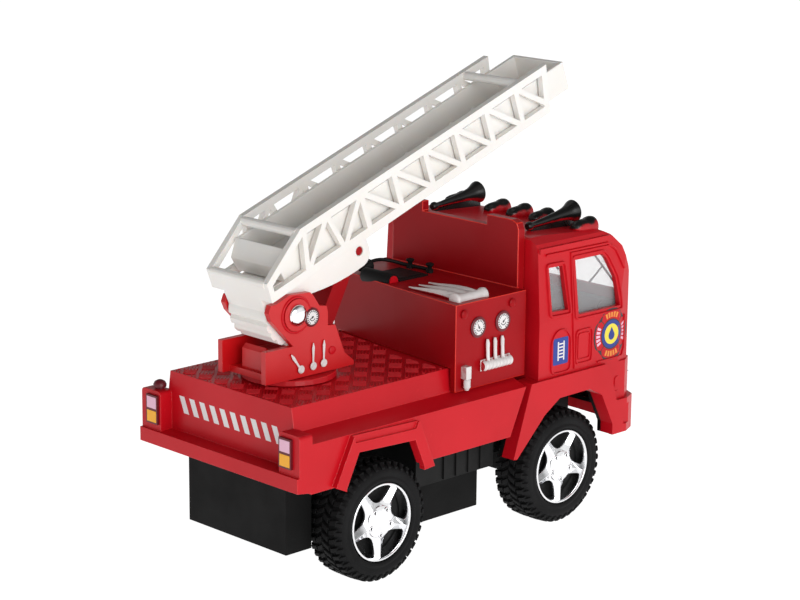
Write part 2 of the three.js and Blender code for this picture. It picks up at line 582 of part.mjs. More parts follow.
/** Cab moulding: roof, pillars, doors, wrap-round front wings with wheel arches, and front bumper. */
function cab() {
  const shell = cut(cabVolume(0), cabVolume(WALL));
  const wing = prism('y', [
    [14.5, 29.7], [22.7, 54.4], [60.6, 54.4], [63, 51.2], [66.6, 40.2], [69.1, 28.3], [64, 28.3],
    [58.6, 43.8], [52.2, 47.1], [36.9, 46.9], [29.6, 42.4], [16.2, 29.5],
  ], -CAB.fender, CAB.fender);
  const wingRoom = block([0, 90], [-31.4, 31.4], [20, CAB.floor + 8]);
  const lowPlan = (inset) => mirrorPlan([
    [62, -CAB.fender + inset], [72 - inset, -CAB.fender + inset], [77.4 - inset, -36 + inset],
    [80.4 - inset, -30 + inset], [81.4 - inset, -18], [BUMPER.front - inset, -8],
  ]);
  const bumper = cut(prism('z', lowPlan(0), 28.2, 40.3), prism('z', lowPlan(WALL), 27, 38.7));
  const apronPlan = (inset) => mirrorPlan([
    [62, -CAB.door + inset], [72 - inset, -CAB.door + inset], [77 - inset, -34 + inset],
    [79 - inset, -26 + inset], [80 - inset, -10],
  ]);
  const apronRoom = prism('z', apronPlan(WALL), 30, CAB.floor + 6);
  const apron = cut(prism('z', apronPlan(0), 38.6, CAB.floor + 4), apronRoom);
  const gutter = block([CAB.rear + 0.2, 63], [-36.5, 36.5], [97.6, 99.2]);
  const gutterRoom = block([0, 90], [-34.2, 34.2], [90, 105]);
  const lampRecess = [-1, 1].map((side) => block([77.6, 90], onSide(side, 24, 34.6), [43, 48.6]));
  const bumperRecess = [-1, 1].map((side) => {
    const outline = [[68.4, 38.2], [75.4, 38.2], [74, 31], [70.6, 31]];
    return prism('y', outline, ...onSide(side, CAB.fender - 0.9, 50));
  });
  const windows = [DOOR_WINDOW, QUARTER_WINDOW].map((outline) => prism('y', outline, -60, 60));
  return cut(
    join(shell, cut(wing, wingRoom), bumper, apron, cut(gutter, gutterRoom)),
    prism('y', FRONT_ARCH, -50, 50), ...windows, prism('x', WINDSHIELD, 60, 100),
    ...lampRecess, ...bumperRecess, block([0, 61.9], [-31.4, 31.4], [20, CAB.floor + 3]),
  );
}

/** Clear window insert: one pressing behind the side and front openings. */
function windowInsert() {
  const band = block([CAB.rear + 3, 90], [-50, 50], [71.5, 95.6]);
  return cut(common(cabVolume(WALL + GAP), band), cabVolume(WALL + GAP + 1));
}

/** Cab interior: floor, seats, dashboard and steering wheel in one dark moulding. */
function cabInterior() {
  const floor = block([30, 70], [-31, 31], [CAB.floor + 0.1, CAB.floor + 1.6]);
  const seats = [-18, 18].map((y) => join(
    block([33, 46], [y - 10, y + 10], [CAB.floor + 1, 62]),
    prism('y', [[30.4, 55], [36, 55], [34.6, 84], [31.4, 84]], y - 10, y + 10),
  ));
  const engineHump = block([33, 62], [-7, 7], [CAB.floor + 1, 60]);
  const dashSide = [[60, CAB.floor + 1], [74.6, CAB.floor + 1], [73, 74], [66, 74.6], [60, 70]];
  const dash = prism('y', dashSide, -30.6, 30.6);
  const column = rod('z', [0, 0], -2, 7, 1.3, 1.3, 10).rotateY(-0.9).translate(59, 18, 71);
  const wheel = rod('z', [0, 0], 6.6, 7.8, 6, 6, 20).rotateY(-0.9).translate(59, 18, 71);
  return join(floor, ...seats, engineHump, dash, column, wheel);
}

place('cab', cab(), plastic(RED));
const glass = plastic(0xdfe8ee, 0.05);
glass.transparent = true;
glass.opacity = 0.35;
place('window_insert', windowInsert(), glass);
place('cab_interior', cabInterior(), plastic(0x3a3a3c, 0.6));

// ---------------------------------------------------------------- roof fittings
const ROOF_Z = 102.2;

/** Roof line height at a distance along the cab. */
function roofAt(x) {
  return x < 60 ? 102.5 - ((x - CAB.rear - 1) * 1.5) / (59 - CAB.rear) : 101 - (x - 60) * 0.45;
}

/** Everything above the roof from a distance along the cab. */
function aboveRoof(from) {
  const edge = 59.9;
  const roof = [[from, roofAt(from) + 0.1], [edge, roofAt(edge) + 0.1], [66, 98.6]];
  return prism('y', [...roof, [66, 120], [from, 120]], -50, 50);
}

/** Air horn: saddle, long trumpet and bell, on a keel that follows the roof. */
function horn(y) {
  const [tail, bell] = [35.4, 59.6];
  const trumpet = turned('x', [0, 0], [
    [0, 0], [1.7, 0], [2, 1.4], [1.2, 3], [1.5, 6], [2.3, 17], [3, 21.4], [4.4, 24], [0, 24],
  ], 16);
  trumpet.rotateY(-0.1).translate(tail, y, ROOF_Z + 1.1);
  const keel = prism('y', [
    [tail + 1, roofAt(tail) + 0.1], [bell - 1, roofAt(bell) + 0.1], [bell - 1, 104.4], [tail + 1, 103.2],
  ], y - 0.9, y + 0.9);
  return common(join(trumpet, keel), aboveRoof(30));
}

/** Roof marker lamp: rounded hood with a brow over the lens. */
function roofLamp(y) {
  const profile = [[0, 0], [1.3, 0.3], [2.4, 2], [3, 5], [3.4, 10.2], [2.7, 10.5], [0, 10]];
  return common(turned('x', [0, 0], profile, 16).translate(50, y, 102.3), aboveRoof(44));
}

for (const [side, sign] of SIDES) {
  place(`horn_${side}`, horn(22.6 * sign), plastic(BLACK));
}
[-30, -10.6, 0, 10.6, 30].forEach((y, i) => place(`roof_lamp_${i + 1}`, roofLamp(y), plastic(RED)));

// ---------------------------------------------------------------- turret
/** Round turntable with its post through the deck and a retaining flange below. */
function turntable() {
  const profile = [
    [0, BED.deck - 3.6], [TURRET.post + 1.6, BED.deck - 3.6], [TURRET.post + 1.6, BED.deck - 2.4],
    [TURRET.post, BED.deck - 1.9], [TURRET.post, BED.deck + GAP], [TURRET.radius, BED.deck + GAP],
    [TURRET.radius - 0.4, TURRET.base - 0.4], [0, TURRET.base - 0.4],
  ];
  return turned('z', [TURRET.x, 0], profile);
}

const TURRET_LEVERS = [[-56.7, 68.9, -60.8, 74.4], [-51.5, 69.1, -51.4, 76.6], [-47, 69.3, -46.8, 76.8]];
/** Valve lever moulded on a side plate: round foot and a thin handle. */
function turretLever([footX, footZ, tipX, tipZ], side) {
  const near = TURRET.plateOuter - 0.1;
  const span = (height) => onSide(side, near, TURRET.plateOuter + height);
  const along = new THREE.Vector2(tipX - footX, tipZ - footZ).setLength(0.4);
  const [dx, dz] = [-along.y, along.x];
  const handle = [
    [footX - dx, footZ - dz], [footX + dx, footZ + dz], [tipX + dx, tipZ + dz], [tipX - dx, tipZ - dz],
  ];
  return join(rod('y', [footX, footZ], ...span(0.7), 1.2, 1.2, 12), prism('y', handle, ...span(0.45)));
}

/** Turret bracket: floor, two shaped side plates with pivot bosses, and the ratchet block between them. */
function bracket() {
  const { plateInner, plateOuter, base } = TURRET;
  const outline = [
    [-71.1, base], [-71.1, 76.8], [-59.6, 76.8], [-68.6, 86.3], [-69.8, 89], [-68.8, 91.4], [-66.4, 91.6],
    [-61, 93.6], [-52.4, 93.2], [-51.2, 92.2], [-48.4, 88.2], [-45.3, 87.6], [-44.8, 85.6], [-44.8, 81.2],
    [-41.5, 80.8], [-37.5, 71], [-33.4, 67.6], [-33.4, base],
  ];
  const plates = [-1, 1].map((side) => {
    const span = onSide(side, plateInner, plateOuter);
    const boss = onSide(side, plateOuter - 0.1, plateOuter + 0.7);
    const ring = rod('y', [PIVOT.x, PIVOT.z], ...boss, 5.2);
    const dialSeat = rod('y', [TURRET_GAUGE.x, TURRET_GAUGE.z], -20, 20, TURRET_GAUGE.back + GAP);
    const levers = TURRET_LEVERS.map((lever) => turretLever(lever, side));
    return join(prism('y', outline, ...span), cut(ring, dialSeat), ...levers);
  });
  const floor = block([-68, -38], [-plateOuter, plateOuter], [base - 0.1, base + 2]);
  const detent = block([-66.6, -56], [-5, 5], [base + 1, 73.8]);
  const pawl = prism('y', [[-66.6, 73.4], [-66.6, 74.6], [-65, 75.9], [-63.6, 74.4], [-63, 73.4]], -5, 5);
  const bore = rod('y', [PIVOT.x, PIVOT.z], -20, 20, PIVOT.radius + 0.2, PIVOT.radius + 0.2, 20);
  return cut(join(...plates, floor, detent, pawl), bore);
}

place('turntable', turntable(), plastic(RED), turret);
place('turret_bracket', bracket(), plastic(BRIGHT_RED), turret);

for (const [side, sign] of SIDES) {
  const face = dial(TURRET_GAUGE.x, TURRET_GAUGE.z, TURRET.plateOuter + 0.05, sign, TURRET_GAUGE);
  place(`turret_gauge_${side}`, face, plastic(WHITE), turret);
}

// ---------------------------------------------------------------- ladder frame: x along, y across, z up
const pivotAt = new THREE.Vector2(PIVOT.x - LADDER.x, PIVOT.z - LADDER.z)
  .rotateAround(new THREE.Vector2(), -THREE.MathUtils.degToRad(LADDER.pitch));

/** Straight bar of the given width between two points of a side truss. */
function strut([u1, v1], [u2, v2], width, from, to) {
  const along = new THREE.Vector2(u2 - u1, v2 - v1).normalize().multiplyScalar(width / 2);
  const corners = [
    [u1 + along.y, v1 - along.x], [u2 + along.y, v2 - along.x],
    [u2 - along.y, v2 + along.x], [u1 - along.y, v1 + along.x],
  ];
  return prism('y', corners, from, to);
}

/** Side truss between two distances across: rails, posts and braces, with a sloped rear end. */
function truss(from, to) {
  const { rail, foot, post, brace, bend, top, footEnd, first, bay } = TRUSS;
  const { height, bar } = LADDER;
  const high = height - rail / 2;
  const low = foot / 2;
  const envelope = prism('y', [[0, 0], [footEnd, 0], [top, height], [bend, height], [0, bar]], from, to);
  const bars = [
    strut([0, low], [top, low], foot, from, to),
    strut([bend - 2, high], [top, high], rail, from, to),
    strut([0, bar - 1.2], [bend, high + 0.1], rail, from, to),
    strut([0.9, 0], [0.9, bar], 1.8, from, to),
    strut([footEnd - 1.3, 0], [top - 1.3, height], 2.6, from, to),
  ];
  const nodes = [[19.4, high], [16.4, low], [29.6, high], [33, low], [first, high], [first, low]];
  nodes.slice(1).forEach((node, i) => bars.push(strut(nodes[i], node, i === 4 ? post : brace, from, to)));
  for (let u = first; u + 10 < footEnd; u += bay) {
    bars.push(strut([u, high], [u + bay, low], brace, from, to));
    if (u + bay < footEnd - 5) bars.push(strut([u + bay, high], [u + bay, low], post, from, to));
  }
  return common(envelope, join(...bars));
}

/** Outer ladder: two trusses, cross bars, slide ledges, the ratchet root and the lifting arm under it. */
function outerLadder() {
  const { half, side, height, bar } = LADDER;
  const sides = [truss(-half, -side), truss(side, half)];
  const ledges = [-1, 1].map((hand) => (
    block([16, TRUSS.footEnd - 0.4], onSide(hand, 9.6, side + 0.2), [0, 1.4])
  ));
  const tail = prism('y', [[-0.2, 0], [1.6, 0], [1.6, bar], [-0.2, bar]], -half, half);
  const tailRod = rod('y', [0.9, bar - 1], -side - 0.5, side + 0.5, 1.5, 1.5, 12);
  const bars = [TRUSS.bend - 0.4, 124.6].map((u) => (
    rod('y', [u, height - 1.6], -side - 0.5, side + 0.5, 1.5, 1.5, 12)
  ));
  const floor = block([0.4, 20], [-8.9, 8.9], [0, 1.4]);
  const rootRadius = 10.4;
  const rootOutline = [[-0.2, 0.5], [20, 0.5], [19.6, -3]];
  const teeth = 9;
  for (let step = 0; step <= 4 * teeth; step += 1) {
    const angle = THREE.MathUtils.degToRad(-20 - (step / (4 * teeth)) * 190);
    const notch = step % 4 === 0 && step > 3 && step < 4 * teeth ? 0.9 : 0;
    const [du, dv] = polar(rootRadius - notch, angle);
    rootOutline.push([pivotAt.x + du, pivotAt.y + dv]);
  }
  const root = prism('y', rootOutline, -8.9, 8.9);
  const arm = new THREE.Shape();
  arm.moveTo(17, 0.6);
  arm.lineTo(17, -7);
  arm.quadraticCurveTo(19, -9.4, 22, -9.9);
  arm.quadraticCurveTo(33, -12.6, 44, -12.2);
  arm.quadraticCurveTo(48, -11.6, 48, -7);
  arm.lineTo(47.4, 0.6);
  const armRoom = block([25, 60], [-5.6, 5.6], [-14, -1.2]);
  const armHole = rod('y', [STRUT.u, STRUT.v], -20, 20, STRUT.pin + 0.2, STRUT.pin + 0.2, 16);
  const bore = rod('y', [pivotAt.x, pivotAt.y], -20, 20, PIVOT.radius + 0.15, PIVOT.radius + 0.15, 20);
  const bridge = block([17, 48], [-side - 0.2, side + 0.2], [0, 1.4]);
  return cut(
    join(...sides, ...ledges, tail, tailRod, ...bars, floor, bridge, root, prism('y', arm, -7.4, 7.4, 6)),
    armRoom, armHole, bore,
  );
}

/** Sliding inner ladder: a trough with solid walls, rungs across its floor and a box end. */
function innerLadder() {
  const { rear, end, half, wall, floor, top, box } = SLIDER;
  const base = 1.8;
  const outline = [[rear, base], [end, base], [end, top], [rear + 3, top], [rear - 1, base + 5.2]];
  const trough = prism('y', outline, -half, half);
  const room = block([rear + 3.4, end - 1.3], [-half + wall, half - wall], [floor, top + 1]);
  const rungs = [];
  for (let u = 21; u < box - 4; u += 11.2) {
    rungs.push(rod('y', [u, floor + 0.3], -half + 0.5, half - 0.5, 1, 1, 10));
  }
  const boxWall = block([box, box + 1.3], [-half + 0.5, half - 0.5], [base + 0.5, 8]);
  return join(cut(trough, room), ...rungs, boxWall);
}

/** Pivot pin with a domed chrome head at each end. */
function pivotPin() {
  const inner = TURRET.plateOuter + 0.9;
  const [tip, dome] = [inner + 1.5, PIVOT.cap];
  return turned('y', [pivotAt.x, pivotAt.y], [
    [0, -tip], [dome - 1.2, -tip + 0.1], [dome, -inner - 0.5], [dome, -inner], [PIVOT.radius, -inner],
    [PIVOT.radius, inner], [dome, inner], [dome, inner + 0.5], [dome - 1.2, tip - 0.1], [0, tip],
  ], 24);
}

/** Red strut that hangs in the hollow lifting arm from a cross pin. */
function armStrut() {
  const { u, v, pin, eye, half } = STRUT;
  const outline = [[u - 1.9, v + 1.8], [22.4, -22.7], [24.8, -28.5], [38.4, -16.1], [u + 2.4, v - 0.9]];
  const bar = prism('y', outline, -half, half);
  return join(bar, rod('y', [u, v], -half, half, eye, eye, 20), rod('y', [u, v], -7.2, 7.2, pin, pin, 20));
}

place('outer_ladder', outerLadder(), plastic(WHITE), ladder);
place('arm_strut', armStrut(), plastic(BRIGHT_RED), ladder);
place('pivot_pin', pivotPin(), metal(CHROME), ladder);
place('inner_ladder', innerLadder(), plastic(WHITE), ladder);

export default engine;
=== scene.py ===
"""Looks of the toy ladder fire engine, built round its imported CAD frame."""
import math

import bmesh
import bpy
import numpy as np
from mathutils import Matrix, Vector


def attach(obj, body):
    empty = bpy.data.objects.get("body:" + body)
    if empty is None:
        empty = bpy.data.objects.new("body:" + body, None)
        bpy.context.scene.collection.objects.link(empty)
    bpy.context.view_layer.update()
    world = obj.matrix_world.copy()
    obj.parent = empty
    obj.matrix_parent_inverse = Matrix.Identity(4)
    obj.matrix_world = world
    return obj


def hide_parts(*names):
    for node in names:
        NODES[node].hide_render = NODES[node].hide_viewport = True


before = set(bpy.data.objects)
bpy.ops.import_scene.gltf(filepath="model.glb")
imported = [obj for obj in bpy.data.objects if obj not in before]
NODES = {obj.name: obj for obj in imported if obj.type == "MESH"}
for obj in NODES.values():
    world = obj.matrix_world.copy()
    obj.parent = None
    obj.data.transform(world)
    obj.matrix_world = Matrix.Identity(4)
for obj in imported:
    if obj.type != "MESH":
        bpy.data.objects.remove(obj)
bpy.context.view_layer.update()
MM = 0.001

# ---- sizes in mm
WHEEL = dict(inner=19.1, outer=34.4, height=20.0)
STAR = dict(tip=12.4, tip_half=1.5, root=8.4, root_half=1.95, valley=4.3)
AXLES = {"front": 44.2, "rear": -41.7}
SIDES = {"left": 1, "right": -1}
DECK = dict(rear=-76.3, half=29.4, top=63.8)
TURRET = dict(x=-51.3, radius=15.6)
PUMP = dict(side=33.4, top=85.6, rear=-9.6, step_y=-1, step_rear=-6.0, slant=0.137)
PIVOT = dict(x=-58.4, z=86.9, foot=12.4, tip=13.85)
DOOR_Y = 37.0
FLOOR_GLOW = 1.0
KEY = dict(place=(-0.25, -0.98, 0.34), target=(0, 0, 0.06), size=0.6, power=4.5)  # metres and watts
CAMERA = dict(azimuth=-44.4, elevation=13.71, roll=0.54, lens=105.64)
CAMERA_PLACE = (-0.53505, -0.54483, 0.26633)  # metres
TENT = dict(overhead=0.1, round=0.42, beside=0.42, behind=0.1)
PANEL_SHIFT = dict(left=6.4, right=0.0)
# Box of the wheel arches, in mm (half width, top, front): inside it the cab's red is painted black as
# shade.
ARCH_SHADE_BOX = dict(half=33.0, top=48.0, front=76.5)
PANEL_BOLTS = dict(left=[(13.4, 82.2), (22.6, 82.4)], right=[(-5.3, 82.2), (17.4, 82.4)])
TREAD = dict(cell=5.5, ribs=5, pitch=1.06, length=4.5, width=0.52, height=0.3)
LUGS = 40
LUG_FOOT = 17.6
GRILLE = dict(slats=5, low=56.6, pitch=2.3, half=19)
TURRET_PLATE_Y = 11.5
DECAL_LIFT = 0.05
MATT_GLOSS = (0.28, 0.42)
GRAIN = 2600
GRAIN_HEIGHT = 0.00003
RED_GLOSS = 0.22
# A box's faces, its corners counted with the last of its three directions changing fastest.
BOX_FACES = [(0, 1, 3, 2), (4, 6, 7, 5), (0, 4, 5, 1), (2, 3, 7, 6), (0, 2, 6, 4), (1, 5, 7, 3)]


# ---- node helpers
def new_material(name):
    """An empty node material with its shader and output."""
    material = bpy.data.materials.new(name)
    material.use_nodes = True
    tree = material.node_tree
    tree.nodes.clear()
    shader = tree.nodes.new("ShaderNodeBsdfPrincipled")
    feed(tree.nodes.new("ShaderNodeOutputMaterial"), {"Surface": shader.outputs["BSDF"]})
    return material, tree, shader


def feed(node, values):
    """Sets a node's inputs by name, or links them where the value is a socket."""
    for key, value in values.items():
        if isinstance(value, bpy.types.NodeSocket):
            node.id_data.links.new(value, node.inputs[key])
        else:
            node.inputs[key].default_value = value


def noise(tree, scale, detail=3.0, rough=0.55, stretch=(1, 1, 1)):
    """Noise in the object's own metres, from 0 to 1."""
    coord = tree.nodes.new("ShaderNodeTexCoord")
    mapping = tree.nodes.new("ShaderNodeMapping")
    feed(mapping, {"Vector": coord.outputs["Object"], "Scale": stretch})
    texture = tree.nodes.new("ShaderNodeTexNoise")
    spot = mapping.outputs["Vector"]
    feed(texture, {"Vector": spot, "Scale": scale, "Detail": detail, "Roughness": rough})
    return texture.outputs["Fac"]


def remap(tree, value, low, high, to_low=0.0, to_high=1.0):
    """A clamped, smooth change of range."""
    node = tree.nodes.new("ShaderNodeMapRange")
    node.interpolation_type = "SMOOTHSTEP"
    feed(node, {"Value": value, "From Min": low, "From Max": high, "To Min": to_low, "To Max": to_high})
    return node.outputs["Result"]


def patchy(tree, scale, detail, low, high, to_low=0.0, to_high=1.0):
    """Noise spread over a range."""
    return remap(tree, noise(tree, scale, detail), low, high, to_low, to_high)


def math_node(tree, operation, *values):
    """One step of arithmetic on numbers or sockets."""
    node = tree.nodes.new("ShaderNodeMath")
    node.operation = operation
    for socket, value in zip(node.inputs, values):
        if isinstance(value, (int, float)):
            socket.default_value = value
        else:
            tree.links.new(value, socket)
    return node.outputs["Value"]


def mix_colour(tree, factor, first, second):
    """A blend of two colours, each an RGB tuple or a socket."""
    node = tree.nodes.new("ShaderNodeMix")
    node.data_type = "RGBA"
    tree.links.new(factor, node.inputs["Factor"])
    for key, value in (("A", first), ("B", second)):
        socket = next(s for s in node.inputs if s.name == key and s.type == "RGBA")
        if isinstance(value, tuple):
            socket.default_value = (*value, 1)
        else:
            tree.links.new(value, socket)
    return next(s for s in node.outputs if s.type == "RGBA")


def own_normal(tree, direction):
    """How far the surface faces a direction fixed to the object, from -1 to 1."""
    coord = tree.nodes.new("ShaderNodeTexCoord")
    dot = tree.nodes.new("ShaderNodeVectorMath")
    dot.operation = "DOT_PRODUCT"
    dot.inputs[1].default_value = Vector(direction).normalized()
    tree.links.new(coord.outputs["Normal"], dot.inputs[0])
    return dot.outputs["Value"]


def relief(tree, height, distance, strength=0.4):
    """The normal of a surface with a fine relief; the distance is in metres."""
    bump = tree.nodes.new("ShaderNodeBump")
    feed(bump, {"Height": height, "Distance": distance, "Strength": strength})
    return bump.outputs["Normal"]


def flowing(tree, colour, shade):
    """Two close shades that drift into each other, as in moulded plastic."""
    return mix_colour(tree, patchy(tree, 28, 4, 0.3, 0.7), colour, shade)


def moulded(
    name, colour, shade, rough=MATT_GLOSS, grain=GRAIN, bump=GRAIN_HEIGHT, scatter=0.0, gloss=0.5,
):
    """Moulded plastic: a faint flow in the colour, fine grain and handling scuffs."""
    material, tree, shader = new_material(name)
    tint = flowing(tree, colour, shade)
    scuff = remap(tree, noise(tree, 420, 6, 0.7, (1, 0.25, 1)), 0.62, 0.72)
    pale = tuple(min(1.0, c * 1.25 + 0.02) for c in colour)
    speck = math_node(tree, "MULTIPLY", scuff, 0.35)
    patches = patchy(tree, 90, 4, 0.25, 0.75, *rough)
    feed(shader, {
        "Base Color": mix_colour(tree, speck, tint, pale),
        "Roughness": math_node(tree, "ADD", patches, math_node(tree, "MULTIPLY", scuff, 0.12)),
        "Normal": relief(tree, noise(tree, grain, 2), bump),
        "IOR": 1.49,
        "Specular IOR Level": gloss,
    })
    if scatter:
        radius = (1.0, 0.75, 0.6)
        feed(shader, {
            "Subsurface Weight": scatter, "Subsurface Radius": radius, "Subsurface Scale": 0.002,
        })
    return material


def arch_shaded(name, colour, shade):
    """Moulded plastic that turns black under the wheel arches: painted shade where the inside of the arches
    lies in shadow.
    """
    material, tree, shader = new_material(name)
    coord = tree.nodes.new("ShaderNodeTexCoord")
    split = tree.nodes.new("ShaderNodeSeparateXYZ")
    feed(split, {"Vector": coord.outputs["Object"]})
    away = math_node(tree, "ABSOLUTE", split.outputs["Y"])
    limits = ((away, "half"), (split.outputs["Z"], "top"), (split.outputs["X"], "front"))
    inside, below, behind = (math_node(tree, "LESS_THAN", at, ARCH_SHADE_BOX[key] * MM) for at, key in limits)
    # 1 inside the arch box: painted shade in black.
    arch_shade = math_node(tree, "MULTIPLY", math_node(tree, "MULTIPLY", inside, below), behind)
    feed(shader, {
        "Base Color": mix_colour(tree, arch_shade, flowing(tree, colour, shade), BLACK_TINT),
        "Roughness": patchy(tree, 90, 4, 0.25, 0.75, *MATT_GLOSS),
        "Normal": relief(tree, noise(tree, GRAIN, 2), GRAIN_HEIGHT),
        "Specular IOR Level": RED_GLOSS,
    })
    return material


def painted(name, base, paint, direction, low=0.2, high=0.45, rough=0.38, gloss=0.4):
    """A coloured moulding whose faces turned to one side carry a coat of paint with an uneven edge."""
    material, tree, shader = new_material(name)
    facing = own_normal(tree, direction)
    wobble = math_node(tree, "MULTIPLY", math_node(tree, "SUBTRACT", noise(tree, 500, 3), 0.5), 0.5)
    mask = remap(tree, math_node(tree, "ADD", facing, wobble), low, high)
    streak = patchy(tree, 160, 4, 0.3, 0.7)
    coat = mix_colour(tree, streak, paint, tuple(c * 0.86 for c in paint))
    under = mix_colour(tree, streak, base, tuple(c * 0.8 for c in base))
    feed(shader, {
        "Base Color": mix_colour(tree, mask, under, coat),
        "Roughness": patchy(tree, 240, 4, 0.2, 0.8, rough - 0.08, rough + 0.1),
        "Normal": relief(tree, noise(tree, 1400, 3), 0.00004),
        "Specular IOR Level": gloss,
    })
    return material


def metallic(name, colour, rough, bump, spots=0.0):
    """Bright metal or chrome plating with a slight ripple and dull patches."""
    material, tree, shader = new_material(name)
    dull = tuple(c * (1 - spots) for c in colour)
    feed(shader, {
        "Base Color": mix_colour(tree, patchy(tree, 300, 5, 0.45, 0.75), colour, dull),
        "Roughness": patchy(tree, 500, 5, 0.3, 0.8, rough, rough + 0.12),
        "Normal": relief(tree, noise(tree, 900, 2), bump, 0.6),
        "Metallic": 1.0,
    })
    return material


def clear_plastic(name):
    """Clear window plastic with a breath of haze and fine wiping marks."""
    material, tree, shader = new_material(name)
    haze = remap(tree, noise(tree, 120, 5, 0.6, (1, 1, 6)), 0.4, 0.8)
    feed(shader, {
        "Base Color": mix_colour(tree, haze, (0.97, 0.98, 1.0), (0.9, 0.92, 0.96)),
        "Roughness": patchy(tree, 300, 4, 0.3, 0.8, 0.02, 0.07),
        "Normal": relief(tree, noise(tree, 60, 2), 0.00002, 0.3),
        "Alpha": 0.16,
    })
    return material


RED_TINT = (0.58, 0.006, 0.014)
RED_SHADE = (0.52, 0.004, 0.011)
BRIGHT_TINT = (0.62, 0.007, 0.010)
BRIGHT_SHADE = (0.56, 0.005, 0.008)
# Orange-red for the edges of the pump housing and turret bracket: a painted glow and highlight where light
# shines through thin plastic edges.
PAINTED_EDGE_GLOW = (0.74, 0.03, 0.014)
BLACK_TINT = (0.006, 0.006, 0.006)
WHITE_TINT = (0.88, 0.86, 0.83)
PAINT_WHITE = (0.78, 0.74, 0.73)

RED = moulded("red", RED_TINT, RED_SHADE, gloss=RED_GLOSS)
CAB_RED_ARCH_SHADED = arch_shaded("cab_red_painted_arch_shade", RED_TINT, RED_SHADE)
# Lighter reds laid on bevelled edges as a painted highlight.
RED_EDGE_HIGHLIGHT = moulded("red_painted_edge_highlight", (0.70, 0.02, 0.025), (0.62, 0.012, 0.018), (0.2, 0.3))
BRIGHT_EDGE_HIGHLIGHT = moulded("bright_painted_edge_glow", PAINTED_EDGE_GLOW, (0.66, 0.02, 0.012), (0.2, 0.3))
# A darker copy of the red plastic for the pump housing, arm strut and panel bolts: painted shade.
BOARD_RED_SHADED = moulded("red_board_painted_shade", (0.36, 0.004, 0.008), (0.31, 0.003, 0.006), gloss=0.12)
PLATE_RED = moulded("red_plate", BRIGHT_TINT, BRIGHT_SHADE)
BLACK = moulded("black", BLACK_TINT, (0.010, 0.010, 0.010), (0.42, 0.6), 3200, 0.00005, gloss=0.16)
# A darker copy of the black plastic for the lower boxes: painted shade.
BLACK_SHADED = moulded(
    "black_painted_shade", (0.0035, 0.0035, 0.0035), (0.006, 0.006, 0.006), (0.5, 0.65), 3200, 0.00005, gloss=0.1,
)
DARK_GREY = moulded("dark_grey", (0.05, 0.05, 0.053), (0.035, 0.035, 0.037), (0.45, 0.6), gloss=0.3)
RUBBER = moulded(
    "rubber", (0.006, 0.006, 0.0063), (0.011, 0.011, 0.0115), (0.6, 0.82), 1800, 0.00012, gloss=0.12,
)
IVORY = moulded("ivory", WHITE_TINT, (0.84, 0.81, 0.77), (0.36, 0.5), 2200, 0.00003, scatter=0.25)
WHITE = moulded("white", (0.8, 0.79, 0.77), (0.74, 0.73, 0.71), (0.35, 0.5))
CHROME = metallic("chrome", (0.93, 0.935, 0.95), 0.05, 0.00006, 0.08)
STEEL = metallic("steel", (0.62, 0.62, 0.63), 0.28, 0.00003, 0.15)
BRASS = metallic("brass", (0.7, 0.5, 0.2), 0.28, 0.00003, 0.15)
CLEAR = clear_plastic("clear")
SLEEVE = moulded("cell_sleeve", (0.05, 0.16, 0.36), (0.04, 0.12, 0.3), (0.25, 0.35))
DECAL_WHITE = moulded("print_white", (0.82, 0.80, 0.80), (0.74, 0.70, 0.70), (0.35, 0.5))
DECAL_BLUE = moulded("print_blue", (0.012, 0.04, 0.30), (0.010, 0.03, 0.24), (0.3, 0.42))
DECAL_YELLOW = moulded("print_yellow", (0.86, 0.74, 0.06), (0.80, 0.66, 0.05), (0.3, 0.42))
DECAL_ORANGE = moulded("print_orange", (0.82, 0.30, 0.03), (0.74, 0.24, 0.03), (0.3, 0.42))
DECAL_BLACK = moulded("print_black", (0.012, 0.011, 0.014), (0.02, 0.018, 0.022), (0.3, 0.42))
LAMP_PINK = moulded("lamp_pink", (0.86, 0.52, 0.66), (0.80, 0.44, 0.58), (0.25, 0.38))
LAMP_AMBER = moulded("lamp_amber", (0.96, 0.46, 0.004), (0.92, 0.40, 0.004), (0.25, 0.38))
DARK_RED = moulded("dark_red", (0.15, 0.006, 0.012), (0.11, 0.004, 0.010), (0.3, 0.45))
LAMP_CLEAR = moulded("lamp_clear", (0.74, 0.76, 0.78), (0.62, 0.64, 0.68), (0.12, 0.25))


# ---- mesh helpers
def add_shell(bm, points, faces, slot=0):
    """One closed shell, its points in mm."""
    verts = [bm.verts.new(Vector(p) * MM) for p in points]
    for face in faces:
        bm.faces.new([verts[i] for i in face]).material_index = slot


def box(bm, x, y, z, slot=0):
    """A box between [from, to] along each axis."""
    points = [(i, j, k) for i in sorted(x) for j in sorted(y) for k in sorted(z)]
    add_shell(bm, points, BOX_FACES, slot)


def add_slab(bm, points, slot):
    """A shell between two outlines of equally many points, one listed after the other."""
    count = len(points) // 2
    sides = [(i, (i + 1) % count, count + (i + 1) % count, count + i) for i in range(count)]
    add_shell(bm, points, [tuple(range(count))[::-1], tuple(range(count, 2 * count)), *sides], slot)


def add_sleeve(bm, rings, slot):
    """Faces between each ring of vertices and the next."""
    for low, high in zip(rings, rings[1:]):
        for k in range(len(low)):
            j = (k + 1) % len(low)
            bm.faces.new((low[k], low[j], high[j], high[k])).material_index = slot


def heading(turn):
    """The direction at an angle, in radians."""
    return Vector((math.cos(turn), math.sin(turn)))


def left_of(way):
    """A direction turned left by a quarter turn."""
    return Vector((-way.y, way.x))


def around(centre, corners):
    """Points given by radius and angle about a centre."""
    return [(centre[0] + r * math.cos(a), centre[1] + r * math.sin(a)) for r, a in corners]


def arc_box(inner, outer, turn, half):
    """Radius and angle of the corners of a piece of a ring."""
    return [(inner, turn - half), (outer, turn - half), (outer, turn + half), (inner, turn + half)]


